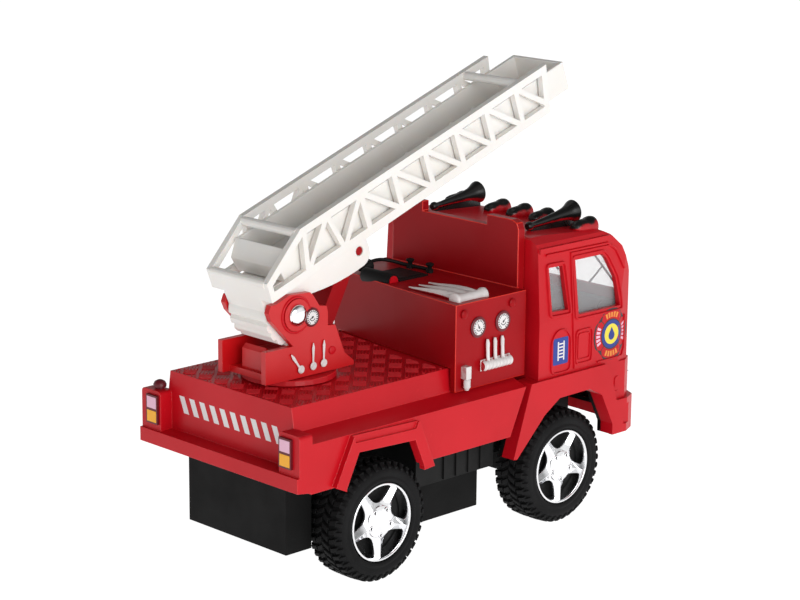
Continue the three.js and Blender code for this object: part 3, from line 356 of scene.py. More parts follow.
def to_side(sign, profile, base=0.0):
    """A turned profile, its distances counted outward from a base on one side of the vehicle."""
    return [(radius, (base + along) * sign) for radius, along in profile]


def span(sign, inner, outer):
    """The range between two distances from the centre line on one side, the lower end first."""
    return sorted((inner * sign, outer * sign))


def on_axis(axis, a, b, along):
    """The point (a, b) across an axis, at a distance along it: x takes (y, z), y (x, z), z (x, y)."""
    return {"x": (along, a, b), "y": (a, along, b), "z": (a, b, along)}[axis]


def prism(bm, axis, outline, start, end, slot=0):
    """An outline extruded along an axis."""
    points = [on_axis(axis, a, b, h) for h in (start, end) for a, b in outline]
    add_slab(bm, points, slot)


def turned(bm, axis, centre, profile, sides=32, slot=0):
    """A turned shell of (radius, distance along the axis) points, from axis to axis or a closed ring."""
    ring_closed = profile[0][0] > 0
    rings = []
    for radius, along in profile:
        if radius <= 0:
            rings.append([bm.verts.new(Vector(on_axis(axis, *centre, along)) * MM)])
            continue
        turn = [2 * math.pi * i / sides for i in range(sides)]
        spots = [(centre[0] + radius * math.cos(t), centre[1] + radius * math.sin(t)) for t in turn]
        rings.append([bm.verts.new(Vector(on_axis(axis, a, b, along)) * MM) for a, b in spots])
    pairs = list(zip(rings, rings[1:])) + ([(rings[-1], rings[0])] if ring_closed else [])
    for low, high in pairs:
        for i in range(sides):
            j = (i + 1) % sides
            corners = [low[i % len(low)], low[j % len(low)], high[j % len(high)], high[i % len(high)]]
            bm.faces.new(list(dict.fromkeys(corners))).material_index = slot


def tube(bm, path, radius, sides=12, slot=0):
    """A round bar along a path of points; radius is one number or one per point."""
    points = [Vector(p) for p in path]
    radii = radius if isinstance(radius, (list, tuple)) else [radius] * len(points)
    across = None
    rings = []
    for i, point in enumerate(points):
        ahead = (points[min(i + 1, len(points) - 1)] - points[max(i - 1, 0)]).normalized()
        if across is None:
            across = ahead.orthogonal().normalized()
        across = (across - across.dot(ahead) * ahead).normalized()
        other = ahead.cross(across)
        ring = []
        for k in range(sides):
            turn = 2 * math.pi * k / sides
            out = across * math.cos(turn) + other * math.sin(turn)
            ring.append(bm.verts.new((point + out * radii[i]) * MM))
        rings.append(ring)
    add_sleeve(bm, rings, slot)
    for cap in (rings[0][::-1], rings[-1]):
        bm.faces.new(cap).material_index = slot


def bead(bm, path, normals, width, height, closed=True, slot=0, sink=0.25):
    """A raised moulding line along a path on a surface, with sloping sides."""
    points = [Vector(p) for p in path]
    count = len(points)
    rings = []
    for i, (point, normal) in enumerate(zip(points, normals)):
        normal = Vector(normal)
        back = points[i - 1] if closed or i else points[i]
        ahead = points[(i + 1) % count] if closed or i < count - 1 else points[i]
        first = (point - back).normalized() if (point - back).length else (ahead - point).normalized()
        second = (ahead - point).normalized() if (ahead - point).length else first
        along = (first + second).normalized()
        stretch = min(2.0, 1 / max(0.3, along.dot(second)))
        side = along.cross(normal).normalized() * stretch
        section = (
            (-width / 2, -sink), (-width / 2, 0.0), (-width / 4, height), (width / 4, height),
            (width / 2, 0.0), (width / 2, -sink),
        )
        rings.append([bm.verts.new((point + side * a + normal * b) * MM) for a, b in section])
    add_sleeve(bm, rings + ([rings[0]] if closed else []), slot)
    if not closed:
        bm.faces.new(rings[0][::-1]).material_index = slot
        bm.faces.new(rings[-1]).material_index = slot


def rounded(outline, radius, steps=4):
    """An outline with its corners rounded."""
    result = []
    count = len(outline)
    for i, corner in enumerate(outline):
        here = Vector(corner)
        back, ahead = Vector(outline[i - 1]) - here, Vector(outline[(i + 1) % count]) - here
        reach = min(radius, back.length * 0.45, ahead.length * 0.45)
        start, end = here + back.normalized() * reach, here + ahead.normalized() * reach
        for step in range(steps + 1):
            t = step / steps
            result.append(tuple(start * (1 - t) ** 2 + here * 2 * t * (1 - t) + end * t ** 2))
    return result


def finish(
    bm, name, materials, replaces=(), bevel=0.0, segments=2, smooth=35, body="vehicle",
):
    """Turns the gathered shells into one object that rides on a body."""
    bmesh.ops.recalc_face_normals(bm, faces=bm.faces)
    mesh = bpy.data.meshes.new(name)
    bm.to_mesh(mesh)
    bm.free()
    piece = bpy.data.objects.new(name, mesh)
    bpy.context.scene.collection.objects.link(piece)
    for material in materials if isinstance(materials, (list, tuple)) else [materials]:
        mesh.materials.append(material)
    mesh.shade_smooth()
    mesh.set_sharp_from_angle(angle=math.radians(smooth))
    if bevel:
        soften(piece, bevel, segments)
    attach(piece, body)
    if replaces:
        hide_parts(*replaces)
    return piece


def soften(piece, width, segments=2, angle=35, material=-1):
    """Rounds the sharp edges, in a material of their own if asked, which carries a painted edge highlight,
    and keeps the flats flat.
    """
    edge = piece.modifiers.new("edge", "BEVEL")
    edge.width = width * MM
    edge.material = material
    edge.segments = segments
    edge.limit_method = "ANGLE"
    edge.angle_limit = math.radians(angle)
    edge.harden_normals = False
    even = piece.modifiers.new("even", "WEIGHTED_NORMAL")
    even.keep_sharp = True


def dress(node, material, bevel=0.0, segments=2, edge_highlight_material=None):
    """Gives a CAD node its finish and, by modifiers only, softly rounded edges, which take a lighter red as
    a painted highlight where a highlight material is given.
    """
    piece = NODES[node]
    for holder in piece.material_slots:
        holder.material = material
    # Slot of the painted edge highlight, if any.
    rim = -1
    if edge_highlight_material:
        piece.data.materials.append(edge_highlight_material)
        rim = len(piece.data.materials) - 1
    if bevel:
        weld = piece.modifiers.new("weld", "WELD")
        weld.merge_threshold = 0.002 * MM
        flat = piece.modifiers.new("flat", "DECIMATE")
        flat.decimate_type = "DISSOLVE"
        flat.angle_limit = math.radians(1)
        soften(piece, bevel, segments, material=rim)


# ---- CAD nodes that stay
# Key: material, bevel width in mm, and the painted highlight material of the bevelled edges.
LOOKS = {
    (BLACK, 0.25, None): ["chassis", "middle_box"],
    (BLACK, 0.2, None): ["rail_left", "rail_right"],
    (BLACK_SHADED, 0.25, None): ["battery_box"],
    (BLACK_SHADED, 0.2, None): ["axle_carrier"],
    (BLACK_SHADED, 0.3, None): ["gearbox_case"],
    (BLACK_SHADED, 0.15, None): ["battery_door"],
    (STEEL, 0.3, None): ["motor"],
    (STEEL, 0.2, None): ["axle_front", "axle_rear"],
    (BRASS, 0, None): ["motor_pinion"],
    (WHITE, 0, None): ["idler_gear", "axle_gear"],
    (WHITE, 0.15, None): ["power_switch"],
    (SLEEVE, 0.2, None): ["battery_cell_1", "battery_cell_2", "battery_cell_3"],
    (CLEAR, 0, None): ["window_insert"],
    (DARK_GREY, 0.4, None): ["cab_interior"],
    (RED, 0.3, RED_EDGE_HIGHLIGHT): ["bed"],
    (RED, 0.2, RED_EDGE_HIGHLIGHT): ["turntable"],
    (CAB_RED_ARCH_SHADED, 0.35, RED_EDGE_HIGHLIGHT): ["cab"],
    (BOARD_RED_SHADED, 0.4, BRIGHT_EDGE_HIGHLIGHT): ["pump_housing"],
    (BOARD_RED_SHADED, 0.3, None): ["arm_strut"],
    (PLATE_RED, 0.3, BRIGHT_EDGE_HIGHLIGHT): ["turret_bracket"],
    (IVORY, 0.25, None): ["outer_ladder", "inner_ladder"],
}


def dress_frame():
    """Every CAD node that stays in sight, with its material, bevel and painted edge highlight material."""
    for (material, bevel, edge_highlight_material), nodes in LOOKS.items():
        for node in nodes:
            dress(node, material, bevel, edge_highlight_material=edge_highlight_material)


# ---- wheels
def tyre(end, side, sign):
    """Rubber tyre: rounded carcass, beads on the side walls and four staggered rows of blocks."""
    bm = bmesh.new()
    x, middle = AXLES[end], sign * (WHEEL["inner"] + WHEEL["outer"]) / 2
    half = (WHEEL["outer"] - WHEEL["inner"]) / 2
    wall = [
        (13.2, 0.84), (13.5, 0.95), (14.2, 0.985), (14.7, 0.965), (15.1, 0.94), (16.3, 0.975),
        (17.3, 0.955), (18.1, 0.88), (18.6, 0.76), (18.75, 0.6),
    ]
    profile = [(r, middle - half * w) for r, w in wall] + [(r, middle + half * w) for r, w in wall[::-1]]
    turned(bm, "y", (x, WHEEL["height"]), profile, 96)
    rows = [(0.0, (0.02, 0.36), 0.62, 0.25, (20.0, 20.0)), (0.5, (-0.36, -0.02), 0.62, -0.25, (20.0, 20.0))]
    for edge, shift in ((1, 0.3), (-1, 0.8)):
        rows.append((shift, (edge * 0.44, edge * 0.8), 0.58, 0.12 * edge, (19.95, 19.75)))
        rows.append((shift + 0.12, (edge * 0.76, edge * 0.97), 0.5, 0, (19.8, 18.3)))
    for lug in range(LUGS):
        for shift, reach, share, skew, tops in rows:
            tread_block(bm, x, middle, [half * part for part in reach], lug + shift, share, skew, tops)
    finish(
        bm, f"tyre_{end}_{side}_treaded", RUBBER, [f"tyre_{end}_{side}"], 0.12, 1,
        body=f"{end}_wheels",
    )


def tread_block(bm, x, middle, reach, position, share, skew, tops):
    """One rubber block between two places across the tread, with its foot in the carcass."""
    step = 2 * math.pi / LUGS
    points = []
    for across, top, lean in zip(reach, tops, (-skew, skew)):
        for radius, spread in ((LUG_FOOT, 0.5), (top, 0.42)):
            for edge in (-1, 1):
                turn = (position + lean + edge * share * spread) * step
                a, b = radius * math.cos(turn), radius * math.sin(turn)
                points.append((x + a, middle + across, WHEEL["height"] + b))
    add_shell(bm, points, BOX_FACES)


def arm_way(arm):
    """Direction of one of the wheel's five arms."""
    return heading(math.radians(-90 + 72 * arm))


def star_outline():
    """Five-armed star with rounded valleys; one arm points down."""
    outline = []
    for arm in range(5):
        out, after = arm_way(arm), arm_way(arm + 1)
        tip, tip_side = out * STAR["tip"], left_of(out) * STAR["tip_half"]
        outline += [tip - tip_side, tip + tip_side]
        start = out * STAR["root"] + left_of(out) * STAR["root_half"]
        end = after * STAR["root"] - left_of(after) * STAR["root_half"]
        valley = (out + after).normalized() * STAR["valley"]
        for step in range(9):
            t = step / 8
            outline.append(start * (1 - t) ** 2 + valley * 2 * t * (1 - t) + end * t ** 2)
    return outline


def ridged_star(bm, x, z, face, sign):
    """Star whose arms rise from their edges to a ridge along the middle."""
    outline = star_outline()
    low, edge, ridge = [], [], []
    for p in outline:
        arm = arm_way(round((math.degrees(math.atan2(p.y, p.x)) + 90) / 72))
        crest = arm * p.dot(arm)
        for ring, spot, y in ((low, p, 2.6), (edge, p, 1.9), (ridge, crest, 0.7)):
            ring.append(bm.verts.new(Vector((x + spot.x, sign * (face - y), z + spot.y)) * MM))
    count = len(outline)
    for i in range(count):
        j = (i + 1) % count
        bm.faces.new((low[i], low[j], edge[j], edge[i]))
        bm.faces.new((edge[i], edge[j], ridge[j], ridge[i]))
    bmesh.ops.remove_doubles(bm, verts=ridge, dist=0.001 * MM)


def rim(end, side, sign):
    """Chromed wheel: stepped outer lip, dark well, dished star with nut dimples and a domed hub."""
    bm = bmesh.new()
    x, z = AXLES[end], WHEEL["height"]
    face = WHEEL["outer"] - 0.5
    foot, seat = 20.0 - face, 19.6 - face
    lip = [
        (12.2, -4.6), (11.5, -4.2), (11.9, -1.6), (12.0, -0.5), (12.3, 0), (12.8, 0), (13.15, -0.5),
        (13.15, foot), (12.2, seat),
    ]
    turned(bm, "y", (x, z), to_side(sign, lip, face), 64)
    well = [(0, -4.6), (12.2, -4.6), (12.2, seat), (0, seat)]
    turned(bm, "y", (x, z), to_side(sign, well, face), 48, 1)
    ridged_star(bm, x, z, face, sign)
    dome = [(0, -2.6), (5.6, -2.6), (5.3, -0.9), (3.4, -0.35), (0, -0.15)]
    turned(bm, "y", (x, z), to_side(sign, dome, face), 40)
    nut = [(0, -1.4), (0.95, -1.4), (0.95, -0.35), (0.55, -0.3), (0.45, -0.55), (0, -0.6)]
    # Small black disc in each nut's dimple: painted shade of a hole.
    hole_shade = [(0, -0.7), (0.42, -0.7), (0.42, -0.5), (0, -0.48)]
    for centre in around((x, z), [(4.4, math.radians(-90 + 72 * arm)) for arm in range(5)]):
        turned(bm, "y", centre, to_side(sign, nut, face), 16)
        turned(bm, "y", centre, to_side(sign, hole_shade, face), 12, 1)
    finish(
        bm, f"rim_{end}_{side}_star", [CHROME, BLACK], [f"rim_{end}_{side}"], 0.22, 2, 30,
        body=f"{end}_wheels",
    )


# ---- bed
def deck_tread():
    """Five-bar tread plate laid at 45 degrees over the free part of the deck."""
    bm = bmesh.new()
    cell = TREAD["cell"]
    diagonal = (Vector((1, 1)).normalized(), Vector((1, -1)).normalized())
    reach = range(-14, 15)
    for i in reach:
        for j in reach:
            middle = Vector((-42, 0)) + diagonal[0] * i * cell + diagonal[1] * j * cell
            along, across = diagonal if (i + j) % 2 else diagonal[::-1]
            for rib in range(TREAD["ribs"]):
                centre = middle + across * (rib - (TREAD["ribs"] - 1) / 2) * TREAD["pitch"]
                tread_rib(bm, centre, along)
    finish(bm, "deck_tread", RED)


def on_deck(point):
    """Whether a deck point is clear of the edges, the turntable and the pump housing."""
    x, y = point
    housing = PUMP["rear"]
    if y >= PUMP["step_y"]:
        housing = PUMP["step_rear"] + (y - PUMP["step_y"]) * PUMP["slant"]
    clear = math.hypot(x - TURRET["x"], y) > TURRET["radius"] + 0.7
    return DECK["rear"] + 0.6 < x < housing and abs(y) < DECK["half"] - 0.5 and clear


def tread_rib(bm, centre, along):
    """One raised rib, cut short where it meets an edge."""
    parts, fewest = 24, 6
    steps = [(k / parts - 0.5) * TREAD["length"] for k in range(parts + 1)]
    kept = [s for s in steps if on_deck(centre + along * s)]
    if len(kept) < fewest or len(kept) < round((kept[-1] - kept[0]) / TREAD["length"] * parts):
        return
    start, end = centre + along * kept[0], centre + along * kept[-1]
    across = left_of(along)
    low, high = DECK["top"] - 0.2, DECK["top"] + TREAD["height"]
    half, slope = TREAD["width"] / 2, 0.28
    points = []
    for z, width, inset in ((low, half, 0), (high, half * 0.45, slope)):
        for tip, turn in ((start, 1), (end, -1)):
            spot = tip + along * inset * turn
            points += [(*(spot - across * width), z), (*(spot + across * width), z)]
    add_shell(bm, points, BOX_FACES)


def hazard_band():
    """Printed row of slanting white bars across the rear panel."""
    bm = bmesh.new()
    face = DECK["rear"]
    bars, slant, low, high, end = 10, 2.4, 50.9, 56.4, 25.4
    pitch = 50.0 / bars
    for bar in range(bars):
        y = -25 + bar * pitch
        far = y + pitch * 0.5
        outline = [(y, low), (far, low), (far + slant, high), (y + slant, high)]
        prism(bm, "x", [(min(end, a), b) for a, b in outline], face - 0.05, face + 0.1)
    finish(bm, "hazard_band", DECAL_WHITE)


def tail_lamps(side, sign):
    """Painted two-colour lamp on a lamp post, with its dark outline."""
    bm = bmesh.new()
    inner = span(sign, 30.1, 34.7)
    front = -81.98
    box(bm, (front + 0.1, -80.9), span(sign, 29.6, 35.2), (46.4, 56.0), 0)
    box(bm, (front + 0.02, -81.0), inner, (51.6, 55.4), 1)
    box(bm, (front + 0.02, -81.0), inner, (47.0, 50.8), 2)
    finish(
        bm, f"tail_lamp_{side}_painted", [DARK_RED, LAMP_PINK, LAMP_AMBER],
        [f"tail_lamp_{side}"], 0.04, 1,
    )


def tail_peg():
    """Small capped peg behind the left lamp post."""
    bm = bmesh.new()
    peg = [
        (0, 54), (1.5, 54), (1.5, 57.6), (2.1, 57.9), (2.2, 58.8), (1.7, 59.7), (0.8, 60.2), (0, 60.3),
    ]
    turned(bm, "z", (-77.6, 33.2), peg, 24)
    finish(bm, "tail_peg", DARK_RED, smooth=50)


# ---- pump housing
def gauge_face(name, body, centre, y, sign, radius, needle):
    """Printed dial: white face with a ring of ticks, an inner arc and a needle."""
    bm = bmesh.new()
    x, z = centre
    disc = [(0, 0), (radius, 0), (radius, 0.04), (radius - 0.1, 0.06), (0, 0.06)]
    turned(bm, "y", centre, to_side(sign, disc, y), 32)
    ink = span(sign, y + 0.03, y + 0.1)
    marks = []
    for tick in range(16):
        out = heading(math.radians(-60 + tick * 300 / 15))
        side = left_of(out) * (0.14 if tick % 2 else 0.2)
        inner, outer = out * radius * 0.74, out * radius * 0.96
        marks.append((inner - side, outer - side, outer + side, inner + side))
    out = heading(math.radians(needle))
    side = left_of(out)
    tail, tip = out * -0.22 * radius, out * radius * 0.62
    marks.append((tail - side * 0.22, tail + side * 0.22, tip + side * 0.06, tip - side * 0.06))
    for mark in marks:
        prism(bm, "y", [(x + p.x, z + p.y) for p in mark], *ink, 1)
    arc = [math.radians(200 + k * 14) for k in range(11)]
    ring = [(radius * 0.52, a) for a in arc] + [(radius * 0.42, a) for a in arc[::-1]]
    prism(bm, "y", around(centre, ring), *ink, 1)
    hub = [(0, 0), (0.36, 0), (0.36, 0.1), (0, 0.1)]
    turned(bm, "y", centre, to_side(sign, hub, y), 14, 1)
    finish(bm, name, [DECAL_WHITE, DECAL_BLACK], body=body)


def gauge(name, body, node, centre, y, sign, radius, back, needle):
    """Dark bezel that stands for the CAD dial, and its printed face."""
    bm = bmesh.new()
    profile = [
        (0, 0), (back, 0), (back, 0.35), (radius + 0.1, 0.62), (radius - 0.25, 0.62),
        (radius - 0.35, 0.5), (0, 0.5),
    ]
    turned(bm, "y", centre, to_side(sign, profile, y), 36)
    finish(bm, f"{name}_bezel", DARK_RED, [node], smooth=40, body=body)
    gauge_face(f"{name}_face", body, centre, y + 0.48, sign, radius - 0.35, needle)


def pump_panel(side, sign):
    """Side panel fittings: gauges, bolts, lever bank and hose outlet."""
    y = PUMP["side"] + 0.05
    shift = PANEL_SHIFT[side]
    for number, x, z, needle in ((1, 1.4, 76.8, 118), (2, 13.0, 76.9, 42)):
        node = f"pump_gauge_{side}_{number}"
        gauge(node, "vehicle", node, (x + shift, z), y, sign, 2.95, 3.5, needle)
    bm = bmesh.new()
    bolt = to_side(sign, [(0, 33), (1.5, 33), (1.5, 34.0), (1.0, 34.4), (0, 34.5)])
    for centre in PANEL_BOLTS[side]:
        turned(bm, "y", centre, bolt, 20)
    finish(bm, f"panel_bolts_{side}", BOARD_RED_SHADED, smooth=50)
    lever_bank(side, sign)
    hose_outlet(side, sign)


def lever_bank(side, sign):
    """Ribbed bar with three levers; the outer faces are painted white."""
    paint = painted(f"lever_paint_{side}", RED_SHADE, PAINT_WHITE, (0, sign, 0.15), 0.0, 0.3)
    bm = bmesh.new()
    y = PUMP["side"]
    shift = PANEL_SHIFT[side]
    box(bm, (2.2 + shift, 16.2 + shift), span(sign, y - 0.1, y + 0.7), (61.8, 65.5))
    wave = []
    for step in range(57):
        x = 2.5 + shift + step * 13.4 / 56
        wave.append((1.42 if step % 7 in (0, 1, 6) else 1.75, x))
    profile = [(0, 2.4 + shift)] + wave + [(0, 16.0 + shift)]
    turned(bm, "x", ((y + 1.15) * sign, 63.6), profile, 20)
    for x in (5.3, 8.8, 12.3):
        path = [
            (x + shift, (y + depth) * sign, z)
            for depth, z in ((1.3, 64.2), (0.95, 66), (0.8, 68.5), (0.75, 71), (0.7, 72.2))
        ]
        tube(bm, path, [0.85, 0.72, 0.72, 0.8, 0.45], 10)
    finish(bm, f"lever_bank_{side}", paint, [f"pump_levers_{side}"], smooth=45)


def hose_outlet(side, sign):
    """Threaded coupling with a square head, painted on its outer half."""
    paint = painted(f"outlet_paint_{side}", RED_SHADE, PAINT_WHITE, (0, sign, 0), -0.2, 0.15)
    bm = bmesh.new()
    x, y = -5.0 + PANEL_SHIFT[side], PUMP["side"]
    centre = (x, (y + 1.45) * sign)
    profile = [
        (0, 56.9), (0.7, 56.9), (1.0, 57.6), (1.3, 57.9), (1.42, 58.3), (1.2, 58.6), (1.42, 58.9),
        (1.2, 59.2), (1.42, 59.5), (1.2, 59.8), (1.42, 60.1), (1.1, 60.7), (0, 60.7),
    ]
    turned(bm, "z", centre, profile, 20)
    box(bm, (x - 1.2, x + 1.2), span(sign, y - 0.1, y + 2.5), (60.7, 65.0))
    finish(
        bm, f"hose_outlet_{side}_threaded", paint, [f"hose_outlet_{side}"],
        0.15, 2, 45,
    )


def roof_manifold():
    """Half-sunk manifold with flared collars and three branches tapering across the roof."""
    paint = painted("manifold_paint", RED_SHADE, PAINT_WHITE, (0, -0.1, 1), -0.35, -0.1)
    bm = bmesh.new()
    z = PUMP["top"] + 0.35
    body = [
        (0, -5.6), (2.0, -5.6), (2.35, -5.3), (2.4, -4.6), (1.9, -3.9), (1.75, 0), (1.75, 5.4),
        (2.0, 6.6), (2.35, 7.6), (2.3, 8.5), (1.8, 8.9), (0, 8.9),
    ]
    turned(bm, "x", (-29, z), body, 28)
    for x, lean in ((-3.0, -0.6), (1.2, -0.2), (5.4, 0.2)):
        path = [
            (x + lean * t, -28.4 + 22.0 * t, z + 0.25 + 0.8 * math.sin(math.pi * t) * (1 - t))
            for t in [k / 9 for k in range(10)]
        ]
        tube(bm, path, [1.5 - 1.25 * (k / 9) ** 1.3 for k in range(10)], 12)
    finish(bm, "manifold_branched", paint, ["manifold"], smooth=50)


def hose_hatch():
    """Plain black hatch with a red-ended half-round hose roll beside it."""
    bm = bmesh.new()
    z = PUMP["top"]
    box(bm, (1.2, 14.8), (3.0, 17.0), (z - 0.2, z + 0.6))
    box(bm, (2.4, 13.6), (4.2, 15.8), (z, z + 0.9))
    finish(bm, "hose_hatch", BLACK, ["hose_locker"], 0.2, 2)
    bm = bmesh.new()
    centre = (-1.2, z + 0.4)
    roll = [(0, 3.7), (2.45, 3.7), (2.6, 4.2), (2.6, 16.8), (2.45, 17.3), (0, 17.3)]
    turned(bm, "y", centre, roll, 28)
    for y in (3.3, 17.2):
        turned(bm, "y", centre, [(0, y), (1.9, y), (1.9, y + 0.5), (0, y + 0.5)], 24, 1)
    finish(bm, "hose_roll", [BLACK, RED], smooth=40)


def branch_pipe():
    """Hand nozzle with its hose arching to two capped couplings."""
    bm = bmesh.new()
    z = PUMP["top"]
    hose = [
        (0.4, 21.6, 1.0), (3.4, 22.4, 1.8), (7, 22.6, 2.9), (11, 22, 3.0), (14.6, 20, 2.2),
        (17.2, 17.6, 1.2), (18.4, 14, 0.9), (18.8, 10, 0.9), (18.8, 5.6, 0.9),
    ]
    tube(bm, spline([(x, y, z + up) for x, y, up in hose], 5), 0.62, 12)
    nozzle = [(0.8, 1.6, 0.9), (2.4, 1.6, 1.2), (3.8, 1.7, 1.8), (5.0, 1.9, 2.3), (5.6, 2.0, 2.1)]
    tube(bm, [(x, 22.2, z + up) for x, up, _ in nozzle], [radius for *_, radius in nozzle], 20)
    coupling = [
        (0, -0.1), (1.3, -0.1), (1.3, 1.0), (0.8, 1.4), (0.9, 2.2), (1.45, 2.6), (1.5, 3.1), (1.0, 3.4),
        (0, 3.5),
    ]
    for y in (15.5, 6.0):
        turned(bm, "z", (18.4, y), to_side(1, coupling, z), 20)
    finish(bm, "branch_pipe_curved", BLACK, ["branch_pipe"], smooth=50)


def spline(points, steps):
    """A smooth path through points."""
    points = [Vector(p) for p in points]
    padded = [points[0] * 2 - points[1], *points, points[-1] * 2 - points[-2]]
    result = []
    for a, b, c, d in zip(padded, padded[1:], padded[2:], padded[3:]):
        for step in range(steps):
            t = step / steps
            square, cube = 2 * a - 5 * b + 4 * c - d, 3 * b - a - 3 * c + d
            result.append(0.5 * (2 * b + (c - a) * t + square * t ** 2 + cube * t ** 3))
    return result + [points[-1]]


# ---- cab
def skin_y(x, z):
    """Distance of the cab's side skin from the centre line at a place seen from the side."""
    lean = DOOR_Y - max(0.0, z - 74) * 1.4 / 24.4
    plan = DOOR_Y
    if x > 68:
        plan -= (x - 68) * 1.6 / 6.4
    if x > 74.4:
        plan = 35.4 - (x - 74.4) * 1.1
    return min(lean, plan)


def dense_path(outline, closed, radius):
    """A path in short steps, so that it can follow a curved skin; closed ones get round corners."""
    corners = rounded(outline, radius) if closed else outline
    dense = []
    count = len(corners)
    for i in range(count if closed else count - 1):
        a, b = Vector(corners[i]), Vector(corners[(i + 1) % count])
        parts = max(1, int((b - a).length / 3))
        dense += [a.lerp(b, k / parts) for k in range(parts)]
    if not closed:
        dense.append(Vector(corners[-1]))
    return dense


def side_bead(bm, outline, sign, width=0.7, height=0.3, closed=True, slot=0, radius=1.2):
    """A moulding line on the cab's side."""
    path = [(p.x, sign * skin_y(p.x, p.y), p.y) for p in dense_path(outline, closed, radius)]
    bead(bm, path, [(0, sign, 0)] * len(path), width, height, closed, slot)


DOOR_LOOPS = [
    (0.7, 0.45, 1.6, [(45.9, 56.8), (45.9, 68.4), (53.9, 68.4), (53.9, 56.8)]),
    (0.5, 0.35, 1.2, [(46.9, 58.2), (46.9, 67.2), (52.8, 67.2), (52.8, 58.2)]),
    (0.7, 0.5, 2.2, [(33.4, 55.4), (33.4, 67), (36, 70.2), (40.4, 70.2), (43.0, 67), (43.0, 55.4)]),
    (1.1, 0.6, 1.4, [(32.5, 75.4), (31.2, 93.3), (40.2, 93.1), (42.9, 75.1)]),
    (0.9, 0.5, 1.6, [(45.3, 72.6), (44.0, 94.2), (59.9, 94.2), (62.4, 92.2), (67.4, 84.2), (70.0, 72.4)]),
]
DOOR_LINES = [
    (0.8, 0.5, [(45.2, 55.5), (43.9, 74), (43.4, 95.6), (64.2, 95.4)]),
    (0.7, 0.45, [(57, 55.6), (70.4, 55.6), (71.8, 58), (71.6, 70)]),
    (1.0, 0.6, [(31, 96.6), (62, 96.4), (66.4, 93.6), (70.6, 86.6)]),
]


def door_details(side, sign):
    """Embossed lines of the doors: seams, panels, window surrounds and the drip rail."""
    bm = bmesh.new()
    for width, height, radius, outline in DOOR_LOOPS:
        side_bead(bm, outline, sign, width, height, radius=radius)
    for width, height, outline in DOOR_LINES:
        side_bead(bm, outline, sign, width, height, False)
    finish(bm, f"door_lines_{side}", RED, smooth=60)


def draped_disc(bm, centre, inner, outer, sign, lift, slot, sectors=48, shape=None):
    """A thin printed ring or disc that follows the door's skin."""
    x0, z0 = centre
    rings = []
    for depth in (-0.1, lift):
        for radius in (inner, outer):
            ring = []
            for k in range(sectors):
                turn = 2 * math.pi * k / sectors
                reach = radius * (shape(turn) if shape and radius == outer else 1)
                x, z = x0 + reach * math.cos(turn), z0 + reach * math.sin(turn)
                ring.append(bm.verts.new(Vector((x, sign * (skin_y(x, z) + depth), z)) * MM))
            rings.append(ring)
    low_in, low_out, high_in, high_out = rings
    for k in range(sectors):
        j = (k + 1) % sectors
        for a, b in ((high_in, high_out), (high_out, low_out), (low_out, low_in), (low_in, high_in)):
            bm.faces.new((a[k], a[j], b[j], b[k])).material_index = slot


def arch_shade_panel(side, sign):
    """Black panel behind the front wheel that closes the arch from the inside: a dark sheet of painted
    shade for the shadowed inside of the arch.
    """
    bm = bmesh.new()
    box(bm, (24, 66), span(sign, 14.5, 16.5), (24.5, 47.5))
    finish(bm, f"arch_shade_panel_{side}", BLACK)


def badge_shape(turn):
    """Edge of the badge: four broad arms with shallow notches between them."""
    return 1 - 0.2 * max(0.0, math.cos(4 * (turn - math.pi / 4))) ** 3


def badge(side, sign):
    """Plain printed roundel: dark outline, blue ring, yellow disc and a water drop."""
    bm = bmesh.new()
    centre = (64.2, 64.3)
    draped_disc(bm, centre, 8.5, 9.2, sign, DECAL_LIFT, 0, 72, badge_shape)
    for inner, outer, slot in ((3.6, 5.0, 1), (5.0, 5.4, 0), (0.05, 3.6, 2)):
        draped_disc(bm, centre, inner, outer, sign, DECAL_LIFT, slot)
    drop = [(0.0, 2.5)] + around((0.0, -0.55), [(1.55, math.radians(28 - k * 23.6)) for k in range(11)])
    y = DOOR_Y * sign
    prism(bm, "y", [(centre[0] + a, centre[1] + b) for a, b in drop], y, y + 0.1 * sign, 1)
    for quarter in range(4):
        middle = math.radians(90 * quarter)
        for dash in range(-2, 3):
            corners = arc_box(6.0, 7.9, middle + math.radians(dash * 11), math.radians(3.6))
            draped_patch(bm, around(centre, corners), sign, DECAL_LIFT, 3 if quarter % 2 else 4)
        spoke = arc_box(5.4, 7.6, middle + math.radians(45), 0.02)
        draped_patch(bm, around(centre, spoke), sign, DECAL_LIFT, 0)
    finish(
        bm, f"door_badge_{side}",
        [DECAL_BLACK, DECAL_BLUE, DECAL_YELLOW, DECAL_ORANGE, LAMP_PINK],
    )


def draped_patch(bm, outline, sign, lift, slot):
    """A thin printed patch that follows the cab's side skin."""
    points = [(x, sign * (skin_y(x, z) + depth), z) for depth in (-0.1, lift) for x, z in outline]
    add_slab(bm, points, slot)


def number_plate(side, sign):
    """Blue plate with a white ladder sign."""
    bm = bmesh.new()
    plate = rounded([(34.4, 58.2), (34.4, 67.5), (41.9, 67.5), (41.9, 58.2)], 0.7)
    draped_patch(bm, plate, sign, 0.06, 0)
    for x in (36.6, 39.4):
        draped_patch(bm, [(x, 59.6), (x, 66.2), (x + 0.6, 66.2), (x + 0.6, 59.6)], sign, 0.1, 1)
    for rung in range(5):
        z = 60.5 + rung * 1.15
        draped_patch(bm, [(37.1, z), (37.1, z + 0.45), (39.5, z + 0.45), (39.5, z)], sign, 0.1, 1)
    finish(bm, f"door_plate_{side}", [DECAL_BLUE, DECAL_WHITE])


